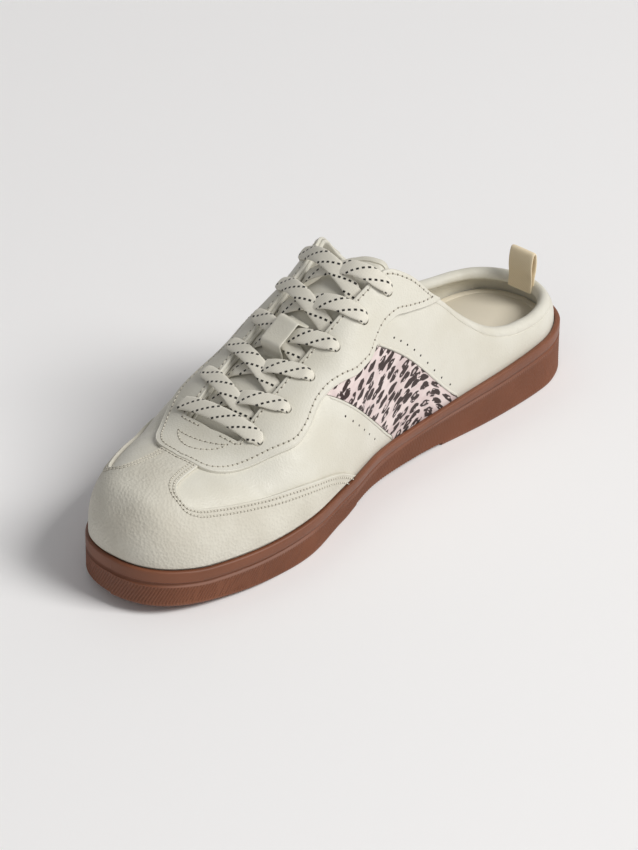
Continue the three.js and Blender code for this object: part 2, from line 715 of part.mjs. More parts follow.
// Heel loop: webbing folded double, its seam held in a slot in the collar.
const heelStation = stationOf(0.981);
const heelTop = surface(heelStation, 0, 0);
const heelNormal = normalAt(heelStation, 0);
const loopTilt = 0.1;
const loopCentre = [
  heelTop[0],
  heelTop[1] - collarPadding / 2,
  heelTop[2],
];
function loopSection(grow) {
  const t = loopThickness / 2 + grow;
  const shape = new THREE.Shape();
  shape.moveTo(-t, -loopSeat - grow);
  shape.lineTo(t, -loopSeat - grow);
  shape.lineTo(t, grow > 0 ? loopHeight : 1);
  if (grow > 0) {
    shape.lineTo(-t, loopHeight);
    return shape;
  }
  shape.quadraticCurveTo(t + loopBulge, loopHeight / 2, t + 0.3, loopHeight - 1.2);
  shape.quadraticCurveTo(t, loopHeight, 0, loopHeight);
  shape.quadraticCurveTo(-t, loopHeight, -t - 0.3, loopHeight - 1.2);
  shape.quadraticCurveTo(-t - loopBulge, loopHeight / 2, -t, 1);
  const hole = new THREE.Path();
  hole.moveTo(0, 2.5);
  hole.quadraticCurveTo(-loopBulge - 0.4, loopHeight / 2, -0.4, loopHeight - 1.6);
  hole.lineTo(0.4, loopHeight - 1.6);
  hole.quadraticCurveTo(loopBulge + 0.4, loopHeight / 2, 0, 2.5);
  shape.holes.push(hole);
  return shape;
}
function loopPiece(grow) {
  const width = loopWidth + 2 * grow;
  const piece = new THREE.ExtrudeGeometry(loopSection(grow), {
    depth: width,
    bevelEnabled: false,
    curveSegments: 5,
  });
  piece.translate(0, 0, -width / 2);
  piece.applyMatrix4(new THREE.Matrix4().makeBasis(
    new THREE.Vector3(0, 1, 0),
    new THREE.Vector3(0, 0, 1),
    new THREE.Vector3(1, 0, 0),
  ));
  piece.rotateX(-loopTilt);
  piece.translate(...loopCentre);
  return piece;
}
upperSolid = upperSolid.subtract(solidOf(loopPiece(clearance)));

// Overlays
const overlayLow = constant(clearance);
const overlayHigh = constant(clearance + overlayThickness);
let eyestaySolid = solidOf(skin([outsideOpening, insideEyestay], overlayLow, overlayHigh));
for (const cutter of eyeletCutters) eyestaySolid = eyestaySolid.subtract(cutter);
const toeOverlay = skin(
  [insideToe, clearOfEyestay(clearance), aboveRim(2 * clearance)],
  overlayLow,
  overlayHigh,
);
const panelLow = constant(clearance - pocketDepth);
const panelHigh = constant(clearance - pocketDepth + panelThickness);
const sidePanel = (side) => skin(panelFields((g) => side * g, 0), panelLow, panelHigh);

// Tongue
const tongueTopZ = -(leather + clearance);
const tongueHigh = (s, g) => {
  const outerSide = ramp((-g - 0.02) / 0.2) * ramp((alongOf(s) - 0.46) / 0.08);
  return tongueTopZ - tongueDip * ramp((alongOf(s) - 0.48) / 0.08) - tongueLean * outerSide;
};
const tongueLow = (s, g) => {
  const padded = ramp((alongOf(s) - 0.44) / 0.1);
  const thickness = tongueThickness + (tongueTopThickness - tongueThickness) * padded;
  return tongueHigh(s, g) - thickness;
};
const tongue = skin([insideTongue, belowTongueTop], tongueLow, tongueHigh);

// A flat band along a path on the surface; lift is the height of its middle above the surface.
function band(path, width, thickness) {
  const steps = path.map(({ along, girth, lift }) => {
    const s = stationOf(along);
    return {
      centre: new THREE.Vector3(...surface(s, girth, lift)),
      normal: normalAt(s, girth),
    };
  });
  const flat = width / 2 - thickness / 3;
  const section = [
    [width / 2, 0],
    [flat, thickness / 2],
    [-flat, thickness / 2],
    [-width / 2, 0],
    [-flat, -thickness / 2],
    [flat, -thickness / 2],
  ];
  const positions = [];
  steps.forEach(({ centre, normal }, i) => {
    const ahead = steps[Math.min(i + 1, steps.length - 1)].centre;
    const behind = steps[Math.max(i - 1, 0)].centre;
    const forward = ahead.clone().sub(behind).normalize();
    const across = forward.clone().cross(normal).normalize();
    const up = across.clone().cross(forward).normalize();
    for (const [u, v] of section) {
      positions.push(...centre.clone().addScaledVector(across, u).addScaledVector(up, v));
    }
  });
  const n = section.length;
  const index = [];
  for (let i = 0; i + 1 < steps.length; i++) {
    for (let k = 0; k < n; k++) {
      const a = i * n + k;
      const b = i * n + ((k + 1) % n);
      index.push(a, b, b + n, a, b + n, a + n);
    }
  }
  const last = (steps.length - 1) * n;
  for (let k = 1; k + 1 < n; k++) {
    index.push(0, k + 1, k);
    index.push(last, last + k, last + k + 1);
  }
  return facing(positions, index);
}

// Laces: a strand leaves an eyelet, crosses the throat and goes down beside the opposite edge. The
// strand from the outer side lies over the other one, and the two are joined where they cross.
const laceOnTop = clearance + overlayThickness + clearance + laceThickness / 2;
const laceOnTongue = tongueTopZ + clearance + laceThickness / 2 + 0.1;
const strandLift = curveThrough(
  [
    { girth: -0.2, share: 0 },
    { girth: -0.14, share: 0.06 },
    { girth: 0.0, share: 0.5 },
    { girth: 0.13, share: 0.96 },
    { girth: 0.21, share: 1 },
  ],
  (row) => row.girth,
  "share",
);
const strandSteps = 7;
function strand(upper, lower, side) {
  const margin = (clearance + 0.4 * laceWidth) / arcOf(stationOf(lower.along), 1);
  const stop = margin - Math.min(opening.inner(lower.along), opening.inner(upper.along));
  const path = [];
  const from = upper.girth + 0.01;
  for (let i = 0; i <= strandSteps; i++) {
    const girth = from + (stop - from) * (i / strandSteps);
    const u = (upper.girth - girth) / (upper.girth + lower.girth);
    const along = upper.along + (lower.along - upper.along) * u;
    const over = side < 0 ? 0.65 * laceThickness * Math.exp(-((girth / 0.09) ** 2)) : 0;
    const lift = laceOnTongue + (laceOnTop - laceOnTongue) * strandLift(girth) + over;
    path.push({ along, girth: side * girth, lift });
  }
  return solidOf(band(path, laceWidth, laceThickness));
}
const crossings = [];
for (let k = 1; k < eyelets.length; k++) {
  const joined = strand(eyelets[k], eyelets[k - 1], 1).add(strand(eyelets[k], eyelets[k - 1], -1));
  crossings.push(geometryOf(joined));
}
const barPath = [];
for (let i = 0; i <= 10; i++) {
  const girth = eyelets[0].girth * (1 - i / 5) * 1.02;
  barPath.push({ along: eyelets[0].along, girth, lift: laceOnTop });
}
const laceBar = band(barPath, laceWidth, laceThickness);

// Keeper: a strip stitched to the tongue, over one crossing of the lace.
const [keptUpper, keptLower] = [eyelets[keptCrossing], eyelets[keptCrossing - 1]];
const keptAlong = (keptUpper.along + keptLower.along) / 2;
const keeperReach = (keptUpper.along - keptLower.along) / 2;
const keeperFoot = tongueTopZ + clearance + keeperThickness / 2;
const keeperTop = laceOnTop + laceThickness * 0.65 + 3 * clearance + keeperThickness;
const keeperPath = [-1.1, -1, -0.93, -0.75, -0.4, 0, 0.4, 0.75, 0.93, 1, 1.1].map((u) => ({
  along: keptAlong + keeperReach * u,
  girth: 0.01,
  lift: keeperFoot + (keeperTop - keeperFoot) * (1 - ramp((Math.abs(u) - 0.78) / 0.24)),
}));
const keeper = band(keeperPath, keeperWidth, keeperThickness);

// The shoe
const cream = { color: 0xdedacb, roughness: 0.6, metalness: 0 };
const nubuck = { color: 0xd6d1c1, roughness: 0.9, metalness: 0 };
const gum = { color: 0x9a5f3c, roughness: 0.65, metalness: 0 };
const print = { color: 0xcdb9b4, roughness: 0.8, metalness: 0 };
const lining = { color: 0xe6e0cf, roughness: 0.95, metalness: 0 };
const lace = { color: 0xd9d5c6, roughness: 0.95, metalness: 0 };
const webbing = { color: 0xcfc09a, roughness: 0.9, metalness: 0 };

const group = new THREE.Group();
function place(name, geometry, look) {
  const mesh = new THREE.Mesh(geometry, new THREE.MeshStandardMaterial(look));
  mesh.name = name;
  group.add(mesh);
}
place("outsole", geometryOf(outsoleSolid), gum);
place("insole", ringLoft(insoleRows), lining);
place("upper", geometryOf(upperSolid), cream);
place("toe_overlay", toeOverlay, nubuck);
place("eyestay", geometryOf(eyestaySolid), cream);
place("side_panel_medial", sidePanel(1), print);
place("side_panel_lateral", sidePanel(-1), print);
place("tongue", tongue, cream);
place("tongue_keeper", keeper, cream);
place("lace_bar", laceBar, lace);
crossings.forEach((geometry, i) => place(`lace_cross_${i + 2}`, geometry, lace));
place("heel_loop", loopPiece(0), webbing);

// The origin is under the middle of the shoe's box, on the ground.
const box = new THREE.Box3().setFromObject(group);
const middle = box.getCenter(new THREE.Vector3());
for (const mesh of group.children) mesh.position.set(-middle.x, -middle.y, -box.min.z);

export default group;
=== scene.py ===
# %% [markdown]
# # A slip-on sneaker in leather, webbing and gum rubber
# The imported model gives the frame: every solid of the shoe, in metres, at its true place. This lesson
# dresses it. The shoe is made as a shoemaker makes it: flat pattern pieces are cut to shape, given a
# thickness, and then pulled over the last, which is the smooth form that a shoe is built on.
# %% Load the frame
import math

import bmesh
import bpy
import numpy as np
from mathutils import Matrix, Vector


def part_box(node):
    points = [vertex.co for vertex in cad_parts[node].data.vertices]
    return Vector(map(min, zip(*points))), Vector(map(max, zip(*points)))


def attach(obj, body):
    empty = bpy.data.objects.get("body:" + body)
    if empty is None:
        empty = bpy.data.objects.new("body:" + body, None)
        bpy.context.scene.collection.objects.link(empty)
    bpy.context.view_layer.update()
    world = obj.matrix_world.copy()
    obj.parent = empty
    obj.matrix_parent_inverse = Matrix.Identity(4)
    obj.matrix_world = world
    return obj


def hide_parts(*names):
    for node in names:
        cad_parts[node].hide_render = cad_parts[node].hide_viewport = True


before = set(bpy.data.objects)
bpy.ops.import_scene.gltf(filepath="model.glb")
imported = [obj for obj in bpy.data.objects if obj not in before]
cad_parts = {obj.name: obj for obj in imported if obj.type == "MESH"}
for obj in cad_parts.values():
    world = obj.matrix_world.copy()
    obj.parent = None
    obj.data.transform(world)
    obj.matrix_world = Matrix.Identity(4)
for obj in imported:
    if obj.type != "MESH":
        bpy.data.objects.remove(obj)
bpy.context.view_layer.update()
bpy.ops.object.select_all(action="DESELECT")
MM = 0.001

# %% [markdown]
# ## The camera
# The photograph was taken from the front and the inner side of the foot, about 2 m away and 1.1 m up,
# with a long lens. The camera stands there too. It is turned by a degree or so towards the one shoe
# that is built, and its lens is longer, so that the shoe fills the frame. The focus and the middle of
# the shoe are in the photograph's pixels.
# %% Camera
CAMERA_PLACE = Vector((1173.2, -1260.9, 1105.0)) * MM
CAMERA_LOOK = Vector((-0.5610, 0.6376, -0.5278))
PHOTO_WIDTH, PHOTO_HEIGHT = 638.0, 850.0
PHOTO_FOCUS = 3134.0
SHOE_COLUMN, SHOE_ROW = 243.0, 446.0
SENSOR = 36.0
CLOSER = 1.55
camera_data = bpy.data.cameras.new("camera")
camera = bpy.data.objects.new("camera", camera_data)
bpy.context.scene.collection.objects.link(camera)
straight = CAMERA_LOOK.to_track_quat("-Z", "Y")
aim = Vector((SHOE_COLUMN - PHOTO_WIDTH / 2, PHOTO_HEIGHT / 2 - SHOE_ROW, -PHOTO_FOCUS)).normalized()
turn = Vector((0, 0, -1)).rotation_difference(aim)
camera.rotation_mode = "QUATERNION"
camera.rotation_quaternion = straight @ turn
camera.location = CAMERA_PLACE
camera_data.sensor_width = SENSOR
camera_data.lens = SENSOR * PHOTO_FOCUS / PHOTO_HEIGHT * CLOSER
camera_data.clip_start = 0.05
camera_data.clip_end = 50.0
bpy.context.scene.camera = camera
print("lens, mm:", round(camera_data.lens, 1))

# %% [markdown]
# ## The last
# A last is described by cross sections. Each one runs from a ridge on top to the rim of the sole on
# either side, as a half ellipse that may be boxier or rounder. Smooth curves through a few rows give
# every section in between. These are the same shares of the same sizes that the solids were made with,
# so what is pulled over this last lies exactly on them.
# %% Sizes of the shoe, in millimetres
SOLE_LENGTH = 268.0
BALL_WIDTH = 93.0
HEEL_RIM_HEIGHT = 25.0
INSTEP_HEIGHT = 92.0
TOE_SPRING = 5.0
RIM_THICKNESS = 2.4
CLEARANCE = 0.3
LEATHER = 2.2
OVERLAY_THICKNESS = 1.1
POCKET_DEPTH = 1.0
PANEL_THICKNESS = 0.6
COLLAR_PADDING = 5.6
PADDING_REACH = 15.0
INSOLE_THICKNESS = 5.0
FOREFOOT_FLOOR = 9.0
HEEL_FLOOR = 19.0
GROOVE_DROP = 6.4
GROOVE_DEPTH = 0.9
SHANK_RECESS = 1.6
TREAD_DEPTH = 1.4
TREAD_WIDTH = 3.0
TREAD_PITCH = 15.0
TREAD_MARGIN = 7.0
EYELET_RADIUS = 2.2
LACE_WIDTH = 7.2
LACE_THICKNESS = 1.4
TONGUE_THICKNESS = 3.2
TONGUE_TOP_THICKNESS = 5.5
TONGUE_DIP = 3.5
TONGUE_LEAN = 5.0
KEEPER_WIDTH = 11.0
KEEPER_THICKNESS = 0.9
LOOP_WIDTH = 13.0
LOOP_HEIGHT = 14.5
LOOP_SEAT = 5.0
LOOP_THICKNESS = 2.6

# %% Curves through tables
def curve_through(x, y):
    """A smooth curve through the points of a table, which never swings past them."""
    x, y = np.asarray(x, float), np.asarray(y, float)
    step = np.diff(x)
    slope = np.diff(y) / step
    tangent = np.zeros(len(y))
    tangent[0], tangent[-1] = slope[0], slope[-1]
    for i in range(1, len(y) - 1):
        if slope[i - 1] * slope[i] > 0:
            before = 2 * step[i] + step[i - 1]
            after = step[i] + 2 * step[i - 1]
            tangent[i] = (before + after) / (before / slope[i - 1] + after / slope[i])

    def curve(at):
        i = np.clip(np.searchsorted(x, at, side="right") - 1, 0, len(x) - 2)
        u = np.clip((at - x[i]) / step[i], 0, 1)
        start = y[i] * (1 + 2 * u) * (1 - u) ** 2 + step[i] * tangent[i] * u * (1 - u) ** 2
        return start + y[i + 1] * u**2 * (3 - 2 * u) + step[i] * tangent[i + 1] * u**2 * (u - 1)

    return curve


def ramp(v):
    u = np.clip(v, 0, 1)
    return u * u * (3 - 2 * u)


def along_of(station):
    return (1 - np.cos(np.pi * np.asarray(station, float))) / 2


def station_of(along):
    return np.arccos(1 - 2 * np.clip(along, 0, 1)) / np.pi


# %% [markdown]
# Each row holds the share of the length, then the half width, the sweep of the middle towards the inner
# side and the lean of the ridge, as shares of the ball width. The rim is a share of its height at the
# heel and the crown one of the instep. The last two are the powers of the inner and outer half section.
# %% Sections of the last
LAST_SECTIONS = np.array([
    (0.0, 0.0, 0.07, 0.0, 0.88, 0.26, 2.5, 2.5),
    (0.02, 0.2, 0.065, 0.0, 0.83, 0.42, 2.25, 2.7),
    (0.05, 0.285, 0.06, 0.0, 0.78, 0.5, 2.2, 2.7),
    (0.1, 0.363, 0.052, 0.0, 0.73, 0.525, 2.15, 2.7),
    (0.2, 0.455, 0.03, 0.003, 0.73, 0.515, 2.15, 2.55),
    (0.3, 0.495, 0.0, 0.014, 0.78, 0.65, 2.45, 2.1),
    (0.4, 0.475, -0.035, 0.034, 0.82, 0.78, 3.0, 1.95),
    (0.5, 0.417, -0.045, 0.07, 0.85, 0.985, 3.4, 1.95),
    (0.6, 0.39, -0.025, 0.04, 0.9, 1.12, 3.1, 2.3),
    (0.7, 0.376, -0.007, 0.032, 0.94, 0.9, 2.95, 2.45),
    (0.8, 0.365, 0.003, 0.03, 0.96, 0.62, 2.85, 2.5),
    (0.9, 0.338, 0.006, 0.03, 0.98, 0.51, 2.75, 2.5),
    (0.96, 0.265, 0.004, 0.03, 1.0, 0.43, 2.7, 2.5),
    (1.0, 0.0, 0.0, 0.0, 1.0, 0.34, 2.6, 2.6),
])
by_station = [curve_through(station_of(LAST_SECTIONS[:, 0]), column) for column in LAST_SECTIONS.T]
half_width, sweep, lean, rim, crown, inner_power, outer_power = by_station[1:]
UPPER_INSET = RIM_THICKNESS + CLEARANCE


def rim_z(s):
    return rim(s) * HEEL_RIM_HEIGHT


floor_rise = curve_through([0, 0.12, 0.3, 0.5, 0.65, 0.8, 1], [0.42, 0.12, 0, 0.36, 0.76, 0.96, 1])


def cup_floor_z(s):
    return FOREFOOT_FLOOR + (HEEL_FLOOR - FOREFOOT_FLOOR) * floor_rise(along_of(s))


def outline(s, side, inset):
    """The sole's outline from above, moved in by inset. side is 1 on the inner side of the foot."""
    def at(q):
        return (
            BALL_WIDTH * (sweep(q) + side * half_width(q)),
            SOLE_LENGTH * (along_of(q) - 0.5),
        )

    x, y = at(s)
    ax, ay = at(s - 1e-3)
    bx, by = at(s + 1e-3)
    length = np.hypot(bx - ax, by - ay)
    ends = np.where(s < 1e-6, 1.0, np.where(s > 1 - 1e-6, -1.0, 0.0))
    moved_x = np.where(ends == 0, x - side * inset * (by - ay) / length, x)
    moved_y = np.where(ends == 0, y + side * inset * (bx - ax) / length, y + inset * ends)
    return moved_x, moved_y


def half_section(s, side, angle):
    """A point of the section at station s: angle runs from 0 on the ridge to a quarter turn at the rim."""
    bx, by = outline(s, side, UPPER_INSET)
    ox, oy = outline(s, -side, UPPER_INSET)
    rx = (bx + ox) / 2 + lean(s) * BALL_WIDTH
    ry = (by + oy) / 2
    bend = 2 / np.where(side > 0, inner_power(s), outer_power(s))
    out = np.sin(angle) ** bend
    up = np.abs(np.cos(angle)) ** bend
    z = rim_z(s) + (crown(s) * INSTEP_HEIGHT - rim_z(s)) * up
    return np.stack([rx + (bx - rx) * out, ry + (by - ry) * out, z], -1)


# %% Girth: distance round the section, as a share of the way from the ridge to the rim
ROWS, COLUMNS = 400, 160
TABLE_STATIONS = np.linspace(0, 1, ROWS + 1)
TABLE_SHARES = np.linspace(0, 1, COLUMNS + 1)
ANGLES = np.linspace(0, np.pi / 2, 241)
angle_table, arc_table = {}, {}
for side in (1, -1):
    points = half_section(TABLE_STATIONS[:, None], side, ANGLES[None, :])
    steps = np.linalg.norm(np.diff(points, axis=1), axis=2)
    lengths = np.concatenate([np.zeros((len(steps), 1)), np.cumsum(steps, 1)], 1)
    arc_table[side] = lengths[:, -1]
    angle_table[side] = np.array([
        np.interp(TABLE_SHARES * row[-1], row, ANGLES) for row in lengths
    ])


def look_up(table, s, share):
    """The value between the four nearest entries of a table."""
    i = np.clip((s * ROWS).astype(int), 0, ROWS - 1)
    j = np.clip((share * COLUMNS).astype(int), 0, COLUMNS - 1)
    u, v = s * ROWS - i, share * COLUMNS - j
    near = table[i, j] * (1 - v) + table[i, j + 1] * v
    far = table[i + 1, j] * (1 - v) + table[i + 1, j + 1] * v
    return near * (1 - u) + far * u


def last_point(s, g):
    """A point on the last at station s and girth g. Past the rim, at 1, it runs down into the cup."""
    s = np.clip(s, 0, 1)
    share = np.minimum(np.abs(g), 1)
    inner = look_up(angle_table[1], s, share)
    outer = look_up(angle_table[-1], s, share)
    side = np.where(g < 0, -1.0, 1.0)
    p = half_section(s, side, np.where(g < 0, outer, inner))
    below = np.maximum(np.abs(g) - 1, 0) * (rim_z(s) - cup_floor_z(s) - CLEARANCE)
    return p - below[..., None] * np.array([0, 0, 1.0])


def normal_at(s, g):
    """The outward normal, from two short steps over the last. It is level at the rim and the ends."""
    level = np.clip(g, -0.99, 0.99)
    near = np.minimum(2e-3, np.minimum(s, 1 - s) / 2)
    near = np.maximum(near, 1e-7)
    lengthwise = last_point(s + near, level) - last_point(s - near, level)
    crosswise = last_point(s, level + 8e-3) - last_point(s, level - 8e-3)
    normal = np.cross(crosswise, lengthwise)
    normal[..., 2] = np.where(np.abs(g) > 0.99, 0, normal[..., 2])
    normal = normal / np.maximum(np.linalg.norm(normal, axis=-1, keepdims=True), 1e-12)
    normal = np.where((s < 1e-4)[..., None], np.array([0, -1.0, 0]), normal)
    return np.where((s > 1 - 1e-4)[..., None], np.array([0, 1.0, 0]), normal)


def surface(s, g, out=0.0):
    """A point on the last's surface, moved out along the normal, in the shoe's own millimetres."""
    s, g = np.asarray(s, float), np.asarray(g, float)
    return last_point(s, g) + normal_at(s, g) * np.asarray(out, float)[..., None]


HEEL_TOP = 0.981
heel_station = float(station_of(HEEL_TOP))
heel_top = surface(np.array([heel_station]), np.array([0.0]))[0]
loop_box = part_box("heel_loop")
sole_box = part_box("outsole")
SHIFT = np.array([
    (loop_box[0].x + loop_box[1].x) / 2 / MM - heel_top[0],
    sole_box[1].y / MM - SOLE_LENGTH / 2,
    0.0,
])
print("the shoe's own origin in the frame, mm:", SHIFT.round(3))

# %% [markdown]
# ## Cutting lines
# Each pattern piece ends on a line that is drawn on the last: the throat and the collar, the wavy edge
# of the eyestay, the edge of the toe overlay and the slanting sides of the printed panel. A line gives
# the girth at each share of the length, on the inner and then the outer side. The edge of the overlay
# and the tongue's top give the share of the length at each girth instead. The sole's taper says how far
# its foot stands inside its rim, as shares of the ball width. A panel's side runs between two shares of
# the length, at its top and at its foot.
# %% Lines drawn on the last
OPENING = np.array([
    (0.235, -0.2, -0.2), (0.24, 0.05, 0.05), (0.244, 0.235, 0.24), (0.28, 0.205, 0.21),
    (0.38, 0.195, 0.2), (0.5, 0.185, 0.19), (0.557, 0.2, 0.2), (0.596, 0.287, 0.285),
    (0.636, 0.4, 0.39), (0.663, 0.432, 0.44), (0.719, 0.535, 0.53), (0.755, 0.587, 0.58),
    (0.792, 0.625, 0.63), (0.833, 0.66, 0.68), (0.875, 0.665, 0.69), (0.913, 0.625, 0.67),
    (0.94, 0.57, 0.6), (0.965, 0.45, 0.47), (0.978, 0.25, 0.25), (0.983, -0.2, -0.2),
])
EYESTAY = np.array([
    (0.15, -0.3, -0.3), (0.158, 0.02, 0.02), (0.163, 0.22, 0.2), (0.183, 0.338, 0.335),
    (0.206, 0.393, 0.4), (0.254, 0.473, 0.465), (0.305, 0.533, 0.5), (0.332, 0.51, 0.485),
    (0.374, 0.443, 0.42), (0.397, 0.432, 0.403), (0.42, 0.443, 0.41), (0.453, 0.473, 0.46),
    (0.482, 0.473, 0.474), (0.51, 0.417, 0.447), (0.526, 0.398, 0.428), (0.547, 0.403, 0.42),
    (0.578, 0.438, 0.437), (0.613, 0.458, 0.46), (0.66, 0.42, 0.42), (0.69, -0.3, -0.3),
])
TONGUE = np.array([
    (0.19, -0.2, -0.2), (0.196, 0.2, 0.2), (0.25, 0.27, 0.27), (0.44, 0.26, 0.26), (0.5, 0.27, 0.2),
    (0.525, 0.28, 0.12), (0.55, 0.285, 0.04), (0.6, 0.28, 0.02),
])
TONGUE_TOP = np.array([
    (-0.3, 0.53), (-0.06, 0.546), (0.0, 0.557), (0.04, 0.566), (0.11, 0.576), (0.21, 0.589),
    (0.26, 0.588), (0.3, 0.57),
])
TOE_EDGE = np.array([
    (0.0, 0.3, 0.3), (0.17, 0.2, 0.2), (0.19, 0.165, 0.15), (0.21, 0.13, 0.122),
    (0.25, 0.102, 0.098), (0.33, 0.09, 0.084), (0.42, 0.09, 0.084), (0.5, 0.103, 0.098),
    (0.565, 0.136, 0.126), (0.61, 0.167, 0.155), (0.66, 0.208, 0.19), (0.763, 0.291, 0.262),
    (0.843, 0.349, 0.33), (0.908, 0.384, 0.376), (1.0, 0.418, 0.422),
])
SOLE_TAPER = np.array([
    (0.0, -0.012, -0.006), (0.15, 0.014, 0.01), (0.3, 0.03, 0.022), (0.45, 0.062, 0.018),
    (0.6, 0.075, 0.006), (0.75, 0.04, 0.014), (1.0, 0.0, 0.0),
])
PANEL_TOP_GIRTH = 0.475
PANEL_FRONT, PANEL_REAR = (0.397, 0.531), (0.513, 0.68)


def both_sides(table):
    """A curve for the inner side of the foot, 1, and one for the outer side, -1."""
    return {side: curve_through(table[:, 0], table[:, column]) for side, column in ((1, 1), (-1, 2))}


opening, eyestay, tongue_edge, toe_edge, taper = (
    both_sides(table) for table in (OPENING, EYESTAY, TONGUE, TOE_EDGE, SOLE_TAPER)
)
tongue_top = curve_through(TONGUE_TOP[:, 0], TONGUE_TOP[:, 1])

# %% [markdown]
# ## Flat patterns
# A shoemaker cuts each piece from a flat hide. Here the flat hide is the XY plane: X is the distance
# round the last from the ridge, in true millimetres, and Y runs evenly from station to station. A step
# of 1 in Y is about 0.7 mm on the toe and 1.2 mm beside the panels, which is near enough for an edge
# that is a millimetre or two wide.
# %% From the last to the flat pattern and back
FLAT_LENGTH = 400.0


def arc_of(s, side):
    return np.interp(s, TABLE_STATIONS, arc_table[side])


def flat_of(along, g):
    """Flat places of points given by their share of the length and their girth."""
    s = station_of(np.asarray(along, float))
    g = np.asarray(g, float)
    arc = np.where(g < 0, arc_of(s, -1), arc_of(s, 1))
    return np.stack([g * arc, s * FLAT_LENGTH], -1)


def last_of(flat):
    """Station and girth of flat places. Past the rim the pattern runs straight down into the cup."""
    s = np.clip(flat[:, 1] / FLAT_LENGTH, 0, 1)
    arc = np.where(flat[:, 0] < 0, arc_of(s, -1), arc_of(s, 1))
    past = np.maximum(np.abs(flat[:, 0]) - arc, 0)
    depth = rim_z(s) - cup_floor_z(s) - CLEARANCE
    g = np.minimum(np.abs(flat[:, 0]) / arc, 1) + np.minimum(past / depth, 1)
    return s, np.sign(flat[:, 0]) * g


def evenly(points, spacing):
    """The same line with points at an even spacing."""
    points = np.asarray(points, float)
    reach = np.concatenate([[0], np.cumsum(np.linalg.norm(np.diff(points, axis=0), axis=1))])
    count = max(int(round(reach[-1] / spacing)), 1)
    at = np.linspace(0, reach[-1], count + 1)
    return np.stack([np.interp(at, reach, column) for column in points.T], -1)


STEEP_END = 0.012


def edge_line(curve, side, start, stop):
    """Where a girth line stands on one side, as a flat line from start to stop. Its steep ends get more
    points than its middle."""
    along = np.concatenate([
        np.linspace(start, start + STEEP_END, 240),
        np.linspace(start + STEEP_END, stop - STEEP_END, 900)[1:-1],
        np.linspace(stop - STEEP_END, stop, 240),
    ])
    girth = curve(along)
    keep = girth > 0
    return flat_of(along[keep], side * girth[keep])

# %% [markdown]
# ### A piece of leather
# A piece starts as its outline. Loops of points beside the outline, each at its own height, make the
# edge: square underneath and rounded on top, as leather is when it has been cut and rubbed down. The
# middle is one large face, which is then cut by bisect planes into a fine net, so that it can bend.
# %% Helpers for flat pieces
NET = 1.8


def move_line(line, distance, closed=False):
    """The line moved to its left by distance, which may be one number or one for each point."""
    if closed:
        before, after = np.roll(line, 1, 0), np.roll(line, -1, 0)
    else:
        before = np.vstack([2 * line[0] - line[1], line[:-1]])
        after = np.vstack([line[1:], 2 * line[-1] - line[-2]])

    def left_of(a, b):
        d = (b - a) / np.maximum(np.linalg.norm(b - a, axis=1, keepdims=True), 1e-9)
        return np.stack([-d[:, 1], d[:, 0]], -1)

    n, m = left_of(before, line), left_of(line, after)
    corner = (n + m) / np.maximum(1 + (n * m).sum(1, keepdims=True), 0.35)
    return line + corner * np.broadcast_to(np.asarray(distance, float), len(line))[:, None]


def new_piece(name, mesh):
    obj = bpy.data.objects.new(name, mesh)
    bpy.context.scene.collection.objects.link(obj)
    return obj


def only(obj):
    bpy.ops.object.select_all(action="DESELECT")
    obj.select_set(True)
    bpy.context.view_layer.objects.active = obj


def add_points(bm, line, z):
    z = np.broadcast_to(np.asarray(z, float), len(line))
    return [bm.verts.new((p[0], p[1], h)) for p, h in zip(line, z)]


def join_loops(bm, low, high, closed, material=0):
    """Faces between two loops of points. They face right of the loops' direction when high is above."""
    count = len(low) if closed else len(low) - 1
    for i in range(count):
        j = (i + 1) % len(low)
        face = bm.faces.new((low[i], low[j], high[j], high[i]))
        face.material_index = material


def net_lines(obj):
    """Cuts a flat piece into a net with bisect planes along and across it."""
    only(obj)
    co = np.array([v.co for v in obj.data.vertices])
    low, high = co.min(0), co.max(0)
    bpy.ops.object.mode_set(mode="EDIT")
    for axis in (1, 0):
        first = math.floor(low[axis] / NET) + 1
        last = math.ceil(high[axis] / NET)
        no = (1.0, 0.0, 0.0) if axis == 0 else (0.0, 1.0, 0.0)
        for k in range(first, last):
            bpy.ops.mesh.select_all(action="SELECT")
            place = k * NET
            co = (place, 0.0, 0.0) if axis == 0 else (0.0, place, 0.0)
            bpy.ops.mesh.bisect(plane_co=co, plane_no=no, threshold=1e-4)
    bpy.ops.mesh.select_all(action="SELECT")
    bpy.ops.mesh.remove_doubles(threshold=1e-3)
    bpy.ops.object.mode_set(mode="OBJECT")


def pull_over(obj, height_of):
    """Pulls a flat piece over the last. height_of gives the distance from the last at each point. The
    flat places stay on the piece as its UV map, in metres."""
    mesh = obj.data
    flat = np.zeros(len(mesh.vertices) * 3)
    mesh.vertices.foreach_get("co", flat)
    flat = flat.reshape(-1, 3)
    s, g = last_of(flat)
    placed = (surface(s, g, height_of(s, g, flat[:, 2])) + SHIFT) * MM
    corners = np.zeros(len(mesh.loops), int)
    mesh.loops.foreach_get("vertex_index", corners)
    uv = mesh.uv_layers.new(name="pattern")
    uv.data.foreach_set("uv", (flat[corners, :2] * MM).ravel())
    mesh.vertices.foreach_set("co", placed.ravel())
    mesh.update()
    low, high = flat[:, :2].min(0), flat[:, :2].max(0)
    middle = (low[0] + high[0]) / 2
    line = surface(*last_of(np.linspace((middle, low[1]), (middle, high[1]), 200)))
    length = np.linalg.norm(np.diff(line, axis=0), axis=1).sum()
    print(obj.name, "across and along the shoe, mm:", round(high[0] - low[0]), round(length))
    tidy(obj)
    return obj


def smooth_below(degrees):
    """Smooth shading on the chosen piece, except over edges that are sharper than this."""
    bpy.ops.object.shade_smooth_by_angle(angle=math.radians(degrees))


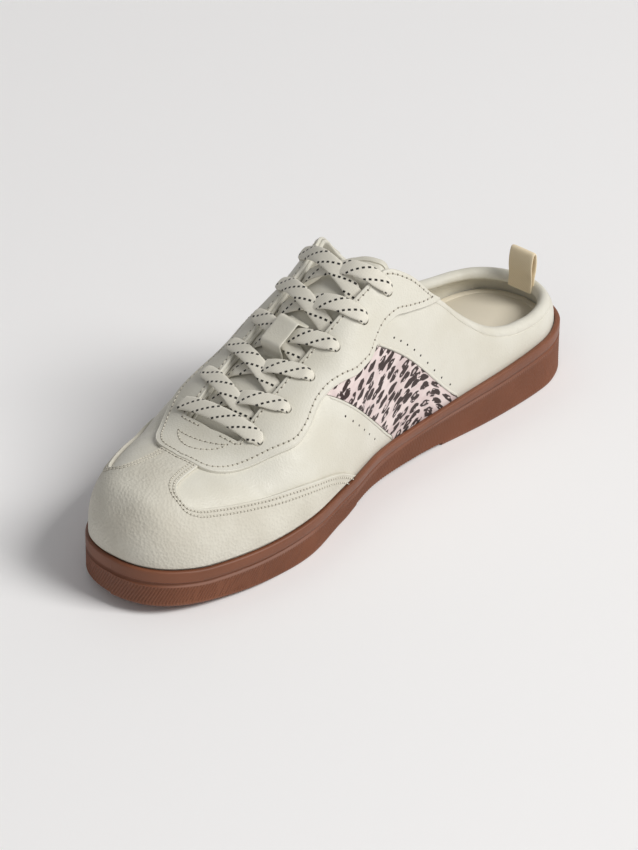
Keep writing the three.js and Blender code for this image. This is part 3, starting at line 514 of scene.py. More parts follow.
def tidy(obj):
    only(obj)
    bpy.ops.object.mode_set(mode="EDIT")
    bpy.ops.mesh.select_all(action="SELECT")
    bpy.ops.mesh.remove_doubles(threshold=2e-6)
    bpy.ops.mesh.dissolve_degenerate(threshold=1e-6)
    bpy.ops.object.mode_set(mode="OBJECT")
    smooth_below(60)
    print(obj.name, "faces:", len(obj.data.polygons))


def flat_piece(name, bm):
    """A piece from its edge and its large faces, cut into a net."""
    mesh = bpy.data.meshes.new(name)
    bm.to_mesh(mesh)
    bm.free()
    obj = new_piece(name, mesh)
    net_lines(obj)
    return obj


def cut_piece(name, line, profile):
    """A flat closed piece. profile lists (inset from the outline, height), from the foot up."""
    bm = bmesh.new()
    loops = [add_points(bm, move_line(line, inset, True), z) for inset, z in profile]
    for low, high in zip(loops, loops[1:]):
        join_loops(bm, low, high, True)
    bm.faces.new(loops[-1])
    bm.faces.new(loops[0][::-1])
    return flat_piece(name, bm)


# %% [markdown]
# ## The upper
# The upper is one shell of leather with a lining. Its collar is padded, so the edge is a soft roll
# that thickens towards the heel, with a shallow groove where it is stitched. Outside, each flank has a
# window for the printed panel, a step of 1 mm. Inside, the leather turns over the edge for 2 mm and
# meets the lining at a seam.
# %% Upper
COLLAR_GROOVE, COLLAR_GROOVE_DEPTH = (1.6, 2.0, 2.3), 0.32
COLLAR_TURN = 2.0
SEAM_WIDTH, SEAM_DEPTH = 0.3, 0.45
ROLL = np.linspace(0, np.pi, 10)
CUP_TUCK = 4.0
UNDERLAP = 2.5
WINDOW_STEP = 1.2
WINDOW_LIP, LIP_DROP = 0.35, 0.14
COLLAR_STARTS, COLLAR_ENDS = 0.6, 0.955
COLLAR_GROWS = 0.12


def wall_of(s, g):
    """Thickness of the upper: leather alone, and more beside the collar."""
    a = along_of(s)
    at = np.clip(a, COLLAR_STARTS, COLLAR_ENDS)
    edge = np.where(g < 0, -opening[-1](at), opening[1](at))
    below = last_point(station_of(at), edge)[..., 2] - last_point(s, g)[..., 2]
    padded = ramp((a - COLLAR_STARTS) / COLLAR_GROWS) * ramp(1 - below / PADDING_REACH)
    share = np.where(np.abs(g) >= 1, 0, padded)
    return LEATHER + (COLLAR_PADDING - LEATHER) * share


def under_eyestay(along, side):
    """Girth of a line a little way under the eyestay's edge."""
    return eyestay[side](along) - UNDERLAP / arc_of(station_of(along), side)


def panel_line(side, ends):
    """One slanting side of the panel, from under the eyestay down into the cup."""
    top, foot = ends
    girth = np.linspace(0.3, 1.0, 240)
    along = top + (foot - top) * (girth - PANEL_TOP_GIRTH) / (1 - PANEL_TOP_GIRTH)
    keep = girth > under_eyestay(along, side)
    line = flat_of(along[keep], side * girth[keep])
    foot_point = line[-1] + np.array([side * CUP_TUCK, 0])
    return np.vstack([line, foot_point])


def panel_window(side):
    """The window from the rim in front, up, under the eyestay and down to the rim behind."""
    front = panel_line(side, PANEL_FRONT)[::-1]
    rear = panel_line(side, PANEL_REAR)
    a = np.linspace(along_of(front[-1, 1] / FLAT_LENGTH), along_of(rear[0, 1] / FLAT_LENGTH), 120)
    top = flat_of(a, side * under_eyestay(a, side))
    front, top, rear = (evenly(line, WINDOW_STEP) for line in (front, top, rear))
    return np.vstack([front, top[1:-1], rear])


def rim_line(side, start, stop):
    """The foot of the upper, tucked into the cup, from one flat Y to another."""
    y = np.linspace(start, stop, max(int(abs(stop - start) / 2.4), 2))
    arc = arc_of(np.clip(y / FLAT_LENGTH, 0, 1), side)
    return np.stack([side * (arc + CUP_TUCK), y], -1)


def opening_line(side):
    line = evenly(edge_line(opening[side], side, 0.2351, 0.9829), 1.0)
    line[0, 0] = line[-1, 0] = 0.0
    return line


def half_upper(bm, side):
    """One side of the shell. turn lists the loops round the collar's edge, from the outside over the
    roll to the lining: distance from the edge, height as a share of the wall, and material."""
    edge = opening_line(side)
    s, g = last_of(edge)
    radius = wall_of(s, g) / 2
    wall = 2 * radius
    near, middle, far = COLLAR_GROOVE
    turn = [(radius + far, 0 * wall, 0), (radius + middle, -COLLAR_GROOVE_DEPTH / wall, 0)]
    turn.append((radius + near, 0 * wall, 0))
    turn += [(radius * (1 - math.sin(a)), -(1 - math.cos(a)) / 2, 0) for a in ROLL]
    turn.append((radius + COLLAR_TURN, -1.0 + 0 * wall, 0))
    turn.append((radius + COLLAR_TURN + SEAM_WIDTH, -1.0 + SEAM_DEPTH / wall, 0))
    turn.append((radius + COLLAR_TURN + 2 * SEAM_WIDTH, -1.0 + 0 * wall, 1))
    loops = []
    for inset, z, _ in turn:
        line = move_line(edge, -side * inset)
        line[0, 0] = line[-1, 0] = 0.0
        loops.append(add_points(bm, line, z))
    for (low, high), (_, _, material) in zip(zip(loops, loops[1:]), turn[1:]):
        pair = (high, low) if side > 0 else (low, high)
        join_loops(bm, pair[0], pair[1], False, material)
    window = panel_window(side)
    floor = -POCKET_DEPTH / LEATHER
    rounded = move_line(window, side * WINDOW_LIP)
    rounded[0, 0], rounded[-1, 0] = window[0, 0], window[-1, 0]
    foot, lip, shoulder = (
        add_points(bm, window, floor),
        add_points(bm, window, -LIP_DROP),
        add_points(bm, rounded, 0.0),
    )
    for low, high in ((foot, lip), (lip, shoulder)):
        join_loops(bm, *((low, high) if side > 0 else (high, low)), False)
    front_rim = rim_line(side, 0.0, rounded[0, 1])
    rear_rim = rim_line(side, rounded[-1, 1], FLAT_LENGTH)
    outer_front = add_points(bm, front_rim[:-1], 0.0) + [shoulder[0]]
    outer_rear = [shoulder[-1]] + add_points(bm, rear_rim[1:], 0.0)
    toe_end = bm.verts.new((0, 0, 0))
    heel_end = bm.verts.new((0, FLAT_LENGTH, 0))
    ring = [toe_end, *outer_front[:-1], *shoulder, *outer_rear[1:], heel_end, *loops[0][::-1]]
    bm.faces.new(ring if side > 0 else ring[::-1])
    window_foot = rim_line(side, window[-1, 1], window[0, 1])[1:-1]
    low_foot = add_points(bm, window_foot, floor)
    ring = [*foot, *low_foot]
    bm.faces.new(ring[::-1] if side > 0 else ring)
    inner_rim = add_points(bm, rim_line(side, 0.0, FLAT_LENGTH), -1.0)
    toe_in = bm.verts.new((0, 0, -1))
    heel_in = bm.verts.new((0, FLAT_LENGTH, -1))
    ring = [toe_in, *inner_rim, heel_in, *loops[-1][::-1]]
    face = bm.faces.new(ring[::-1] if side > 0 else ring)
    face.material_index = 1


bm = bmesh.new()
for side in (1, -1):
    half_upper(bm, side)
upper = flat_piece("upper_leather", bm)
pull_over(upper, lambda s, g, z: z * wall_of(s, g))

# %% [markdown]
# ## Toe overlay, eyestay and printed panels
# The toe overlay and the eyestay are second layers, cut from their own outlines and sewn on top. The
# panels are thin printed cloth, set into the windows of the upper.
# %% Outlines of the sewn-on pieces
RUBBED_EDGE = [(0.0, 0.0), (0.0, 0.62), (0.1, 0.86), (0.28, 0.98), (0.5, 1.0)]
BELOW_EDGE = 0.28
EDGE_GAP = 0.35


def thick_edge(thickness):
    return [(0.0, -BELOW_EDGE)] + [(inset, share * thickness) for inset, share in RUBBED_EDGE]


def overlay_height(s, g, z):
    return CLEARANCE + z


def toe_outline():
    """From the toe along the rim on the inner side, back along the edge and round the outer side. The
    stem of the T ends just short of the eyestay's front edge."""
    parts = []
    for side in (1, -1):
        ahead = move_line(edge_line(eyestay[side], side, 0.1501, 0.25), -side * EDGE_GAP)
        ahead[0, 0] = 0.0
        girth = np.linspace(0.0, 0.992, 900)
        edge = flat_of(toe_edge[side](girth), side * girth)
        across = np.abs(edge[:, 0])
        behind = (across < np.abs(ahead[-1, 0])) & (
            edge[:, 1] > np.interp(across, np.abs(ahead[:, 0]), ahead[:, 1]) - 0.2
        )
        line = evenly(edge[~behind], 1.0)
        front = evenly(ahead[np.abs(ahead[:, 0]) < np.abs(line[0, 0]) - 0.25], 1.0)
        y = np.linspace(-2.0, line[-1, 1], 90)[:-1]
        arc = arc_of(np.clip(y / FLAT_LENGTH, 0, 1), side)
        rim = np.stack([side * (arc - np.minimum(0.7, arc / 2)), y], -1)
        parts.append((evenly(rim, 1.6), line, front))
    (inner_rim, inner_edge, inner_front), (outer_rim, outer_edge, outer_front) = parts
    ring = [inner_rim, inner_edge[::-1], inner_front[::-1], outer_front[1:], outer_edge, outer_rim[::-1]]
    return np.vstack(ring), parts


def eyestay_outline():
    sides = []
    for side in (1, -1):
        a = np.linspace(0.6, 0.68, 2000)
        tip = a[np.argmax(eyestay[side](a) - opening[side](a) < 1.3 / arc_of(station_of(a), side))]
        outer = edge_line(eyestay[side], side, 0.1501, tip)
        inner = edge_line(opening[side], side, 0.2351, tip)
        outer[0, 0] = inner[0, 0] = 0.0
        sides.append((evenly(outer, 1.0), evenly(move_line(inner, -side * EDGE_GAP), 1.0)))
    (outer_in, inner_in), (outer_out, inner_out) = sides
    inner_in[0, 0] = inner_out[0, 0] = 0.0
    ring = [outer_in, inner_in[::-1], inner_out[1:], outer_out[::-1][:-1]]
    return np.vstack(ring), sides


def panel_outline(side):
    window = move_line(panel_window(side), -0.15 * side)
    inside = rim_line(side, window[-1, 1], window[0, 1])[1:-1]
    return np.vstack([window, inside])


# %% Cut and last them
def oriented(line):
    """The same outline, running anticlockwise."""
    x, y = line[:, 0], line[:, 1]
    area = (x * np.roll(y, -1) - np.roll(x, -1) * y).sum()
    return line if area > 0 else line[::-1]


toe_line, toe_parts = toe_outline()
toe_overlay = cut_piece("toe_cap", oriented(toe_line), thick_edge(OVERLAY_THICKNESS))
pull_over(toe_overlay, overlay_height)
eyestay_line, eyestay_parts = eyestay_outline()
eyestay_piece = cut_piece("eyestay_leather", oriented(eyestay_line), thick_edge(OVERLAY_THICKNESS))
panels = {}
for side, word in ((1, "medial"), (-1, "lateral")):
    flat = oriented(panel_outline(side))
    panel = cut_piece(f"printed_panel_{word}", flat, [(0.0, -0.25), (0.0, PANEL_THICKNESS)])
    pull_over(panel, lambda s, g, z: z + CLEARANCE - POCKET_DEPTH)
    panels[side] = panel
pull_over(eyestay_piece, overlay_height)

# %% [markdown]
# ## Eyelets
# Each eyelet is a punched hole through the eyestay and the upper. Its cutter is a cylinder, added at
# its size and place, and one boolean takes all twelve out of a piece at once.
# %% Punch the eyelets
EYELETS = [(0.26, 0.345), (0.322, 0.335), (0.382, 0.305), (0.437, 0.287), (0.492, 0.29), (0.548, 0.284)]
PIN_LENGTH = 12.0


def in_frame(point):
    return Vector((np.asarray(point) + SHIFT) * MM)


def eyelet_place(k, side):
    along, girth = EYELETS[k]
    s, g = np.array([float(station_of(along))]), np.array([side * girth])
    return in_frame(surface(s, g)[0]), Vector(normal_at(s, g)[0])


def eyelet_pins():
    pins = []
    for k in range(len(EYELETS)):
        for side in (1, -1):
            place, normal = eyelet_place(k, side)
            bpy.ops.mesh.primitive_cylinder_add(
                vertices=24, radius=EYELET_RADIUS * MM, depth=PIN_LENGTH * MM, location=place,
                rotation=normal.to_track_quat("Z", "Y").to_euler(),
            )
            pins.append(bpy.context.active_object)
    return join(pins, "pins")


def join(pieces, name):
    """Joins pieces into the first one, and sets its place, turn and size into its mesh."""
    bpy.ops.object.select_all(action="DESELECT")
    for piece in pieces:
        piece.select_set(True)
    bpy.context.view_layer.objects.active = pieces[0]
    bpy.ops.object.join()
    bpy.ops.object.transform_apply(location=True, rotation=True, scale=True)
    obj = bpy.context.active_object
    obj.name = obj.data.name = name
    return obj


def take_out(obj, cutter, operation="DIFFERENCE"):
    only(obj)
    cut = obj.modifiers.new("cut", "BOOLEAN")
    cut.operation, cut.solver, cut.object = operation, "EXACT", cutter
    bpy.ops.object.modifier_apply(modifier="cut")
    smooth_below(50)


pins = eyelet_pins()
take_out(eyestay_piece, pins)
take_out(upper, pins)
bpy.data.objects.remove(pins)

# %% [markdown]
# ## Tongue
# The tongue is a foam pad under the throat. It is cut like the leather pieces, but its edge is a full
# roll and its middle is thicker towards the top, with a sewn channel inside its edge.
# %% Tongue
PAD_ROLL = 2.4
PAD_CHANNEL = [(3.3, 0.0), (3.6, -0.1), (3.9, 0.0)]
TONGUE_TOP_Z = -(LEATHER + CLEARANCE)


def tongue_height(s, g, z):
    a = along_of(s)
    thick = TONGUE_THICKNESS + (TONGUE_TOP_THICKNESS - TONGUE_THICKNESS) * ramp((a - 0.44) / 0.1)
    outer = ramp((-g - 0.02) / 0.2) * ramp((a - 0.46) / 0.08)
    return TONGUE_TOP_Z - TONGUE_DIP * ramp((a - 0.48) / 0.08) - TONGUE_LEAN * outer + z * thick


def tongue_outline():
    """Up the inner edge, over the slanting top and down the outer edge."""
    edges, corners = [], []
    for side in (1, -1):
        line_along = np.concatenate([np.linspace(0.1901, 0.2, 200), np.linspace(0.2, 0.6, 900)[1:]])
        girth = tongue_edge[side](line_along)
        keep = (girth > 0) & (tongue_top(side * girth) > line_along)
        line = flat_of(line_along[keep], side * girth[keep])
        line[0, 0] = 0.0
        edges.append(evenly(line, 1.2))
        corners.append(side * girth[keep][-1])
    girth = np.linspace(corners[0], corners[1], 240)
    top = evenly(flat_of(tongue_top(girth), girth), 1.2)[1:-1]
    return np.vstack([edges[0], top, edges[1][::-1][:-1]])


pad_profile = [
    (PAD_ROLL * (1 - math.sin(a)), -(1 + math.cos(a)) / 2) for a in np.linspace(0, np.pi, 9)
]
tongue = cut_piece("tongue_pad", oriented(tongue_outline()), pad_profile + PAD_CHANNEL)
pull_over(tongue, tongue_height)

# %% [markdown]
# ## Tubes and bands
# Laces, the keeper and the loop are bands that follow a path. A grid is a flat net: its rows follow
# the path, its columns go round the section, and its two long sides meet again in a seam.
# %% Net helper
def net(name, points, closed, size, shares=None):
    """A grid with its points set: rows x columns x 3, in the frame. size is its UV span in metres, and
    shares says how far round each column is."""
    rows, columns = points.shape[:2]
    bpy.ops.mesh.primitive_grid_add(x_subdivisions=columns - 1, y_subdivisions=rows - 1, size=1)
    obj = bpy.context.active_object
    obj.name = obj.data.name = name
    obj.data.vertices.foreach_set("co", points.reshape(-1, 3).ravel())
    uv = obj.data.uv_layers.active
    flat = np.zeros(len(uv.data) * 2)
    uv.data.foreach_get("uv", flat)
    flat = flat.reshape(-1, 2)
    if shares is not None:
        flat[:, 0] = np.interp(flat[:, 0], np.linspace(0, 1, columns), shares)
    flat = (flat * np.array(size)).ravel()
    uv.data.foreach_set("uv", flat)
    obj.data.update()
    if closed:
        only(obj)
        bpy.ops.object.mode_set(mode="EDIT")
        bpy.ops.mesh.select_all(action="SELECT")
        bpy.ops.mesh.remove_doubles(threshold=1e-6)
        bpy.ops.object.mode_set(mode="OBJECT")
    return obj


def close_ends(obj):
    """Caps the open ends of a tube and turns its faces outwards."""
    only(obj)
    bpy.ops.object.mode_set(mode="EDIT")
    bpy.ops.mesh.select_all(action="DESELECT")
    bpy.ops.mesh.select_mode(type="EDGE")
    bpy.ops.mesh.select_non_manifold()
    bpy.ops.mesh.edge_face_add()
    bpy.ops.mesh.select_all(action="SELECT")
    bpy.ops.mesh.normals_make_consistent(inside=False)
    bpy.ops.object.mode_set(mode="OBJECT")
    smooth_below(60)


def smooth_path(points, steps):
    """A smooth curve through a few rows of numbers, by their distance along it."""
    points = np.asarray(points, float)
    reach = np.concatenate([[0], np.cumsum(np.linalg.norm(np.diff(points[:, :3], axis=0), axis=1))])
    at = np.linspace(0, reach[-1], steps)
    table = np.zeros((steps, points.shape[1]))
    for c in range(points.shape[1]):
        table[:, c] = curve_through(reach, points[:, c])(at)
    for _ in range(3):
        table[1:-1] = (table[:-2] + 2 * table[1:-1] + table[2:]) / 4
    return table


def band(name, centres, normals, widths, thicknesses, columns=24, power=2.6):
    """A flat band, a flattened oval across, swept along a path. Everything in the shoe's millimetres."""
    forward = np.gradient(centres, axis=0)
    forward /= np.linalg.norm(forward, axis=1, keepdims=True)
    across = np.cross(forward, normals)
    across /= np.linalg.norm(across, axis=1, keepdims=True)
    up = np.cross(across, forward)
    turn = np.linspace(0, 2 * np.pi, columns + 1)
    c, s = np.cos(turn), np.sin(turn)
    x = np.sign(c) * np.abs(c) ** (2 / power) / 2
    y = np.sign(s) * np.abs(s) ** (2 / 2.2) / 2
    points = (
        centres[:, None]
        + across[:, None] * (x[None, :] * widths[:, None])[..., None]
        + up[:, None] * (y[None, :] * thicknesses[:, None])[..., None]
    )
    points[:, -1] = points[:, 0]
    length = np.linalg.norm(np.diff(centres, axis=0), axis=1).sum()
    middle = points[len(points) // 2]
    reach = np.concatenate([[0], np.cumsum(np.linalg.norm(np.diff(middle, axis=0), axis=1))])
    size = (reach[-1] * MM, length * MM)
    obj = net(name, (points + SHIFT) * MM, True, size, reach / reach[-1])
    close_ends(obj)
    print(name, "length, mm:", round(length))
    return obj


# %% [markdown]
# ## Laces
# The lace is a flat woven tube. Each strand comes up through an eyelet, where it is squeezed, lies over
# the eyestay, crosses the throat and slips under the opposite edge. Two strands make a crossing, and
# the one from the outer side lies on top. The rows of DIVE lead out of an eyelet: how much further
# round the eyelet is, then the lift, width and thickness of the lace.
# %% Lace strands
DIVE = [(0.012, -2.6, 3.6, 2.2), (0.010, -0.6, 3.7, 2.3), (0.004, 1.5, 4.2, 2.2)]
LACE_ON_TOP = CLEARANCE + OVERLAY_THICKNESS + CLEARANCE + LACE_THICKNESS / 2
LACE_ON_TONGUE = TONGUE_TOP_Z + CLEARANCE + LACE_THICKNESS / 2 + 0.1
strand_lift = curve_through([-0.2, -0.14, 0.0, 0.13, 0.21], [0, 0.06, 0.5, 0.96, 1])


def band_on_last(name, rows, steps, power=2.6):
    """A band along a path given as (along, girth, lift, width, thickness) rows."""
    rows = np.asarray(rows, float)
    s, g = station_of(rows[:, 0]), rows[:, 1]
    path = smooth_path(np.hstack([surface(s, g, rows[:, 2]), normal_at(s, g), rows[:, 3:]]), steps)
    return band(name, path[:, :3], path[:, 3:6], path[:, 6], path[:, 7], power=power)


def strand(name, upper_k, lower_k, side):
    """From one eyelet across the throat to the edge beside the eyelet below it on the other side."""
    (a1, g1), (a0, g0) = EYELETS[upper_k], EYELETS[lower_k]
    arc = float(arc_of(float(station_of(a0)), 1))
    stop = (CLEARANCE + 0.4 * LACE_WIDTH) / arc - min(opening[1](a0), opening[1](a1))
    rows = [(a1, g1 + further, *rest) for further, *rest in DIVE]
    rows.append((a1 - 0.001, g1 - 0.02, LACE_ON_TOP + 0.35, 5.6, 1.9))
    for i in range(2, 13):
        girth = g1 + (stop - g1) * i / 12
        u = (g1 - girth) / (g1 + g0)
        over = 0.85 * LACE_THICKNESS * math.exp(-((girth / 0.09) ** 2)) * (1 if side < 0 else -0.15)
        lift = LACE_ON_TONGUE + (LACE_ON_TOP - LACE_ON_TONGUE) * float(strand_lift(girth)) + over
        rows.append((a1 + (a0 - a1) * u, girth, lift, LACE_WIDTH, LACE_THICKNESS))
    end = rows[-1]
    tuck = 3.4 / arc
    rows.append((end[0] - 0.004, end[1] - tuck, TONGUE_TOP_Z + 0.17, LACE_WIDTH, 0.3))
    rows.append((end[0] - 0.007, end[1] - 2 * tuck, TONGUE_TOP_Z + 0.15, LACE_WIDTH, 0.22))
    return band_on_last(name, [(a, side * g, *rest) for a, g, *rest in rows], 80)


lace_pieces = {}
for k in range(1, len(EYELETS)):
    pair = [strand(f"strand_{k}_{side}", k, k - 1, side) for side in (1, -1)]
    lace_pieces[f"lace_cross_{k + 1}"] = join(pair, f"lace_pair_{k + 1}")

a0, g0 = EYELETS[0]
rows = []
for u in np.linspace(-1, 1, 17):
    bow = 0.5 * (1 - u * u)
    rows.append((a0 + 0.0015 * u, g0 * u * 0.93, LACE_ON_TOP + bow, LACE_WIDTH, LACE_THICKNESS))
for side in (-1, 1):
    ends = [(a0, side * (g0 + further), *rest) for further, *rest in DIVE]
    rows = rows + ends[::-1] if side > 0 else ends + rows
lace_pieces["lace_bar"] = band_on_last("lace_first_bar", rows, 110)

# %% [markdown]
# ## Keeper
# A strip of leather, sewn to the tongue at both ends, holds one crossing of the lace in the middle.
# %% Keeper
kept_high, kept_low = EYELETS[3], EYELETS[2]
kept_middle = (kept_high[0] + kept_low[0]) / 2
kept_reach = (kept_high[0] - kept_low[0]) / 2
keeper_foot = TONGUE_TOP_Z + CLEARANCE + KEEPER_THICKNESS / 2
keeper_top = LACE_ON_TOP + LACE_THICKNESS * 0.65 + 3 * CLEARANCE + KEEPER_THICKNESS
rows = []
for u in np.linspace(-1.1, 1.1, 31):
    lift = keeper_foot + (keeper_top - keeper_foot) * (1 - float(ramp((abs(u) - 0.78) / 0.24)))
    rows.append((kept_middle + kept_reach * u, 0.01, lift, KEEPER_WIDTH, KEEPER_THICKNESS))
keeper = band_on_last("keeper_strip", rows, 60, power=9.0)

# %% [markdown]
# ## Sole and insole
# The sole is a moulded cup. Its section is drawn once, as rows of insets and heights, and runs round
# the whole outline: a tread edge, a tall side band, a groove, a smooth band on top and the rim.
# %% Sole
SOLE_STEPS = 1300
RIB_PITCH = 1.45
RIB_DEPTH = 0.45
RIB_SLANT = -0.62
TOP_RIM_GAP = 0.7
ONE_SIDE = np.linspace(0, 1, SOLE_STEPS + 1)
ROUND_STATIONS = np.concatenate([ONE_SIDE, ONE_SIDE[-2::-1]])
ROUND_SIDES = np.array([1.0] * (SOLE_STEPS + 1) + [-1.0] * SOLE_STEPS)


def sole_bottom_z(s):
    along = along_of(s)
    spring = TOE_SPRING * np.maximum(0, 1 - along / 0.28) ** 2
    return spring + TOE_SPRING / 4 * ramp((along - 0.95) / 0.05)


def groove_z(s):
    return rim_z(s) - GROOVE_DROP


def round_reach():
    """Distance round the sole at each step, in whole ribs, so that the pattern closes."""
    x, y = outline(ROUND_STATIONS, ROUND_SIDES, 0)
    reach = np.concatenate([[0], np.cumsum(np.hypot(np.diff(x), np.diff(y)))])
    ribs = round(reach[-1] / RIB_PITCH)
    return reach * ribs / reach[-1]


RIB_TURNS = round_reach()


def sole_ring(rows):
    """Rows of points round the sole. Each row is: share of the taper, extra inset in millimetres,
    height, and how deep the ribs are there, from 0 to 1."""
    s, sides = ROUND_STATIONS, ROUND_SIDES
    foot = np.where(sides > 0, taper[1](along_of(s)), taper[-1](along_of(s))) * BALL_WIDTH
    points = []
    for share, extra, height, ribs in rows:
        z = height(s)
        turns = RIB_TURNS + RIB_SLANT * z / RIB_PITCH
        cut = ribs * RIB_DEPTH * (0.5 + 0.5 * np.cos(2 * np.pi * turns)) ** 1.6
        x, y = outline(s, sides, foot * share + extra + cut)
        points.append(np.stack([x, y, z], -1))
    points = np.array(points)
    points[:, -1] = points[:, 0]
    return points


def rows_between(low, high, count, ribs=0.0):
    """Rows between two rows, without the last, for a tall band."""
    rows = []
    for i, u in enumerate(np.linspace(0, 1, count + 1)[:-1]):
        share, extra = low[0] + (high[0] - low[0]) * u, low[1] + (high[1] - low[1]) * u
        depth = ribs if 0 < i else 0.0
        rows.append((share, extra, lambda s, u=u: low[2](s) * (1 - u) + high[2](s) * u, depth))
    return rows


def ring_body(name, rows, size):
    """A closed body from rings of points: its first and last rings are filled from side to side."""
    ring = (sole_ring(rows) + SHIFT) * MM
    obj = net(name, ring, False, size)
    columns = ring.shape[1]
    bm = bmesh.new()
    bm.from_mesh(obj.data)
    bm.verts.ensure_lookup_table()
    for row in (0, len(ring) - 1):
        found = [bm.verts[row * columns + i] for i in range(columns)]
        for i in range(SOLE_STEPS):
            mirror = 2 * SOLE_STEPS - i
            corners = [found[i], found[i + 1], found[mirror - 1], found[mirror]]
            if corners[1] == corners[2]:
                corners.pop(2)
            bm.faces.new(corners)
    bmesh.ops.remove_doubles(bm, verts=bm.verts, dist=1e-6)
    bmesh.ops.recalc_face_normals(bm, faces=bm.faces)
    bm.to_mesh(obj.data)
    bm.free()
    only(obj)
    smooth_below(50)
    print(name, "faces:", len(obj.data.polygons))
    return obj


side_foot = (1, 0, lambda s: sole_bottom_z(s) + 1, 0)
side_head = (0.35, 0, lambda s: groove_z(s) - 0.7, 0)
top_foot = (0.2, 0, lambda s: groove_z(s) + 1.5, 0)
top_head = (0, 0, lambda s: rim_z(s) - TOP_RIM_GAP, 0)
sole_rows = [(1, 4.5, sole_bottom_z, 0), (1, 0.9, sole_bottom_z, 0)]
sole_rows += [(1, 0.35, lambda s: sole_bottom_z(s) + 0.3, 0)]
sole_rows += rows_between(side_foot, side_head, 12, 1.0)
sole_rows += [side_head, (0.33, 0.3, lambda s: groove_z(s) - 0.5, 0), (0.3, GROOVE_DEPTH, groove_z, 0)]
sole_rows += [(0.25, GROOVE_DEPTH, lambda s: groove_z(s) + 0.8, 0)]
sole_rows += [(0.22, 0.3, lambda s: groove_z(s) + 1.25, 0)]
sole_rows += rows_between(top_foot, top_head, 3)
sole_rows += [top_head, (0, 0.2, lambda s: rim_z(s) - 0.2, 0), (0, 0.7, rim_z, 0)]
sole_rows += [(0, RIM_THICKNESS - 0.4, rim_z, 0), (0, RIM_THICKNESS, lambda s: rim_z(s) - 0.4, 0)]
sole_rows += [(0, RIM_THICKNESS, cup_floor_z, 0)]
sole = ring_body("sole_cup", sole_rows, (RIB_TURNS[-1] * RIB_PITCH * MM, 30 * MM))

# %% Shank and tread grooves
def block(along, depth, z, height):
    bpy.ops.mesh.primitive_cube_add(size=1, location=in_frame([0, SOLE_LENGTH * (along - 0.5), z]))
    bpy.context.active_object.scale = (2 * BALL_WIDTH * MM, depth * MM, 2 * height * MM)
    return bpy.context.active_object


grooves = []
for start, stop in ((0.17, 0.42), (0.71, 0.93)):
    for k in range(math.floor(SOLE_LENGTH * (stop - start) / TREAD_PITCH)):
        along = start + TREAD_PITCH * (k + 0.5) / SOLE_LENGTH
        z = float(sole_bottom_z(station_of(along)))
        grooves.append(block(along, TREAD_WIDTH, z, TREAD_DEPTH))
tread = join(grooves, "tread")
field_rows = [(1, TREAD_MARGIN, lambda s, z=z: z + 0 * s, 0) for z in (-1.0, TOE_SPRING + 2 * TREAD_DEPTH)]
field = ring_body("tread_field", field_rows, (0.6, 0.01))
take_out(tread, field, "INTERSECT")
shank = block(0.55, SOLE_LENGTH * 0.22, 0, SHANK_RECESS)
bpy.ops.object.transform_apply(location=True, rotation=True, scale=True)
for cutter in (tread, shank):
    take_out(sole, cutter)
    bpy.data.objects.remove(cutter)
bpy.data.objects.remove(field)
print("sole faces after the tread:", len(sole.data.polygons))

# %% [markdown]
# The insole is a soft slab in the cup, with a rounded top edge. The same rings make it.
# %% Insole
INSOLE_INSET = UPPER_INSET + LEATHER + CLEARANCE


def insole_z(drop):
    return lambda s: cup_floor_z(s) + CLEARANCE + INSOLE_THICKNESS - drop


insole_rows = [(0, INSOLE_INSET, lambda s: cup_floor_z(s) + CLEARANCE, 0)]
for inset, drop in ((0, 1.4), (0.12, 0.7), (0.45, 0.2), (1.0, 0.0), (3.4, 0.0), (3.7, 0.18), (4.0, 0.0)):
    insole_rows.append((0, INSOLE_INSET + inset, insole_z(drop), 0))
insole = ring_body("insole_board", insole_rows, (0.6, 0.02))

# %% [markdown]
# ## Heel loop
# A tape is folded in two and sewn in at the top of the heel. It is a band again: up the inside, round
# the fold and down the outside, with the two leaves bulging apart a little. Each row holds a height
# above the collar and how far a leaf stands from the middle.
# %% Heel loop
LOOP_TILT = 0.1
LEAF = 1.1
APART = (LOOP_THICKNESS - LEAF) / 2
LEAF_ROWS = [
    (-LOOP_SEAT, APART), (-1.0, APART), (1.5, 0.85), (5.0, 1.45), (8.5, 1.55), (11.5, 1.2),
    (LOOP_HEIGHT - 1.3, APART), (LOOP_HEIGHT - 0.65, 0.0),
]
fold = [(-y, z) for z, y in LEAF_ROWS] + [(y, z) for z, y in LEAF_ROWS[::-1][1:]]
fold = smooth_path(np.array([(0.0, y, z) for y, z in fold]), 70)
tilt = Matrix.Rotation(-LOOP_TILT, 3, "X")
seat = np.array([heel_top[0], heel_top[1] - COLLAR_PADDING / 2, heel_top[2]])
centres = np.array([tilt @ Vector(p) for p in fold]) + seat
forward = np.gradient(centres, axis=0)
normals = np.cross(forward, np.tile([1.0, 0.0, 0.0], (len(fold), 1)))
normals /= -np.linalg.norm(normals, axis=1, keepdims=True)
sizes = np.ones(len(fold))
heel_loop = band("heel_tape", centres, normals, sizes * LOOP_WIDTH, sizes * LEAF, 28, 8.0)

# %% [markdown]
# ## Seams
# Each row of stitches is a line on the flat pattern. A stitch is a short thread, thicker in the middle,
# that dives into a needle hole at both ends. Its rows hold the share of its length, its width as a
# share of the thread, and its lift. The holes are dark dots just above the surface: painted shade that
# stands in for the shade inside each hole. All the stitches of one piece are joined to it.
# %% Stitches and dots
EYESTAY_PITCH, TOE_PITCH = 2.6, 2.1
THREAD = 0.5
THREAD_ROWS = [
    (0.0, 0.12, -0.1), (0.12, 0.75, 0.02), (0.5, 1.0, 0.16), (0.88, 0.75, 0.02), (1.0, 0.12, -0.1),
]
FINE = 0.5


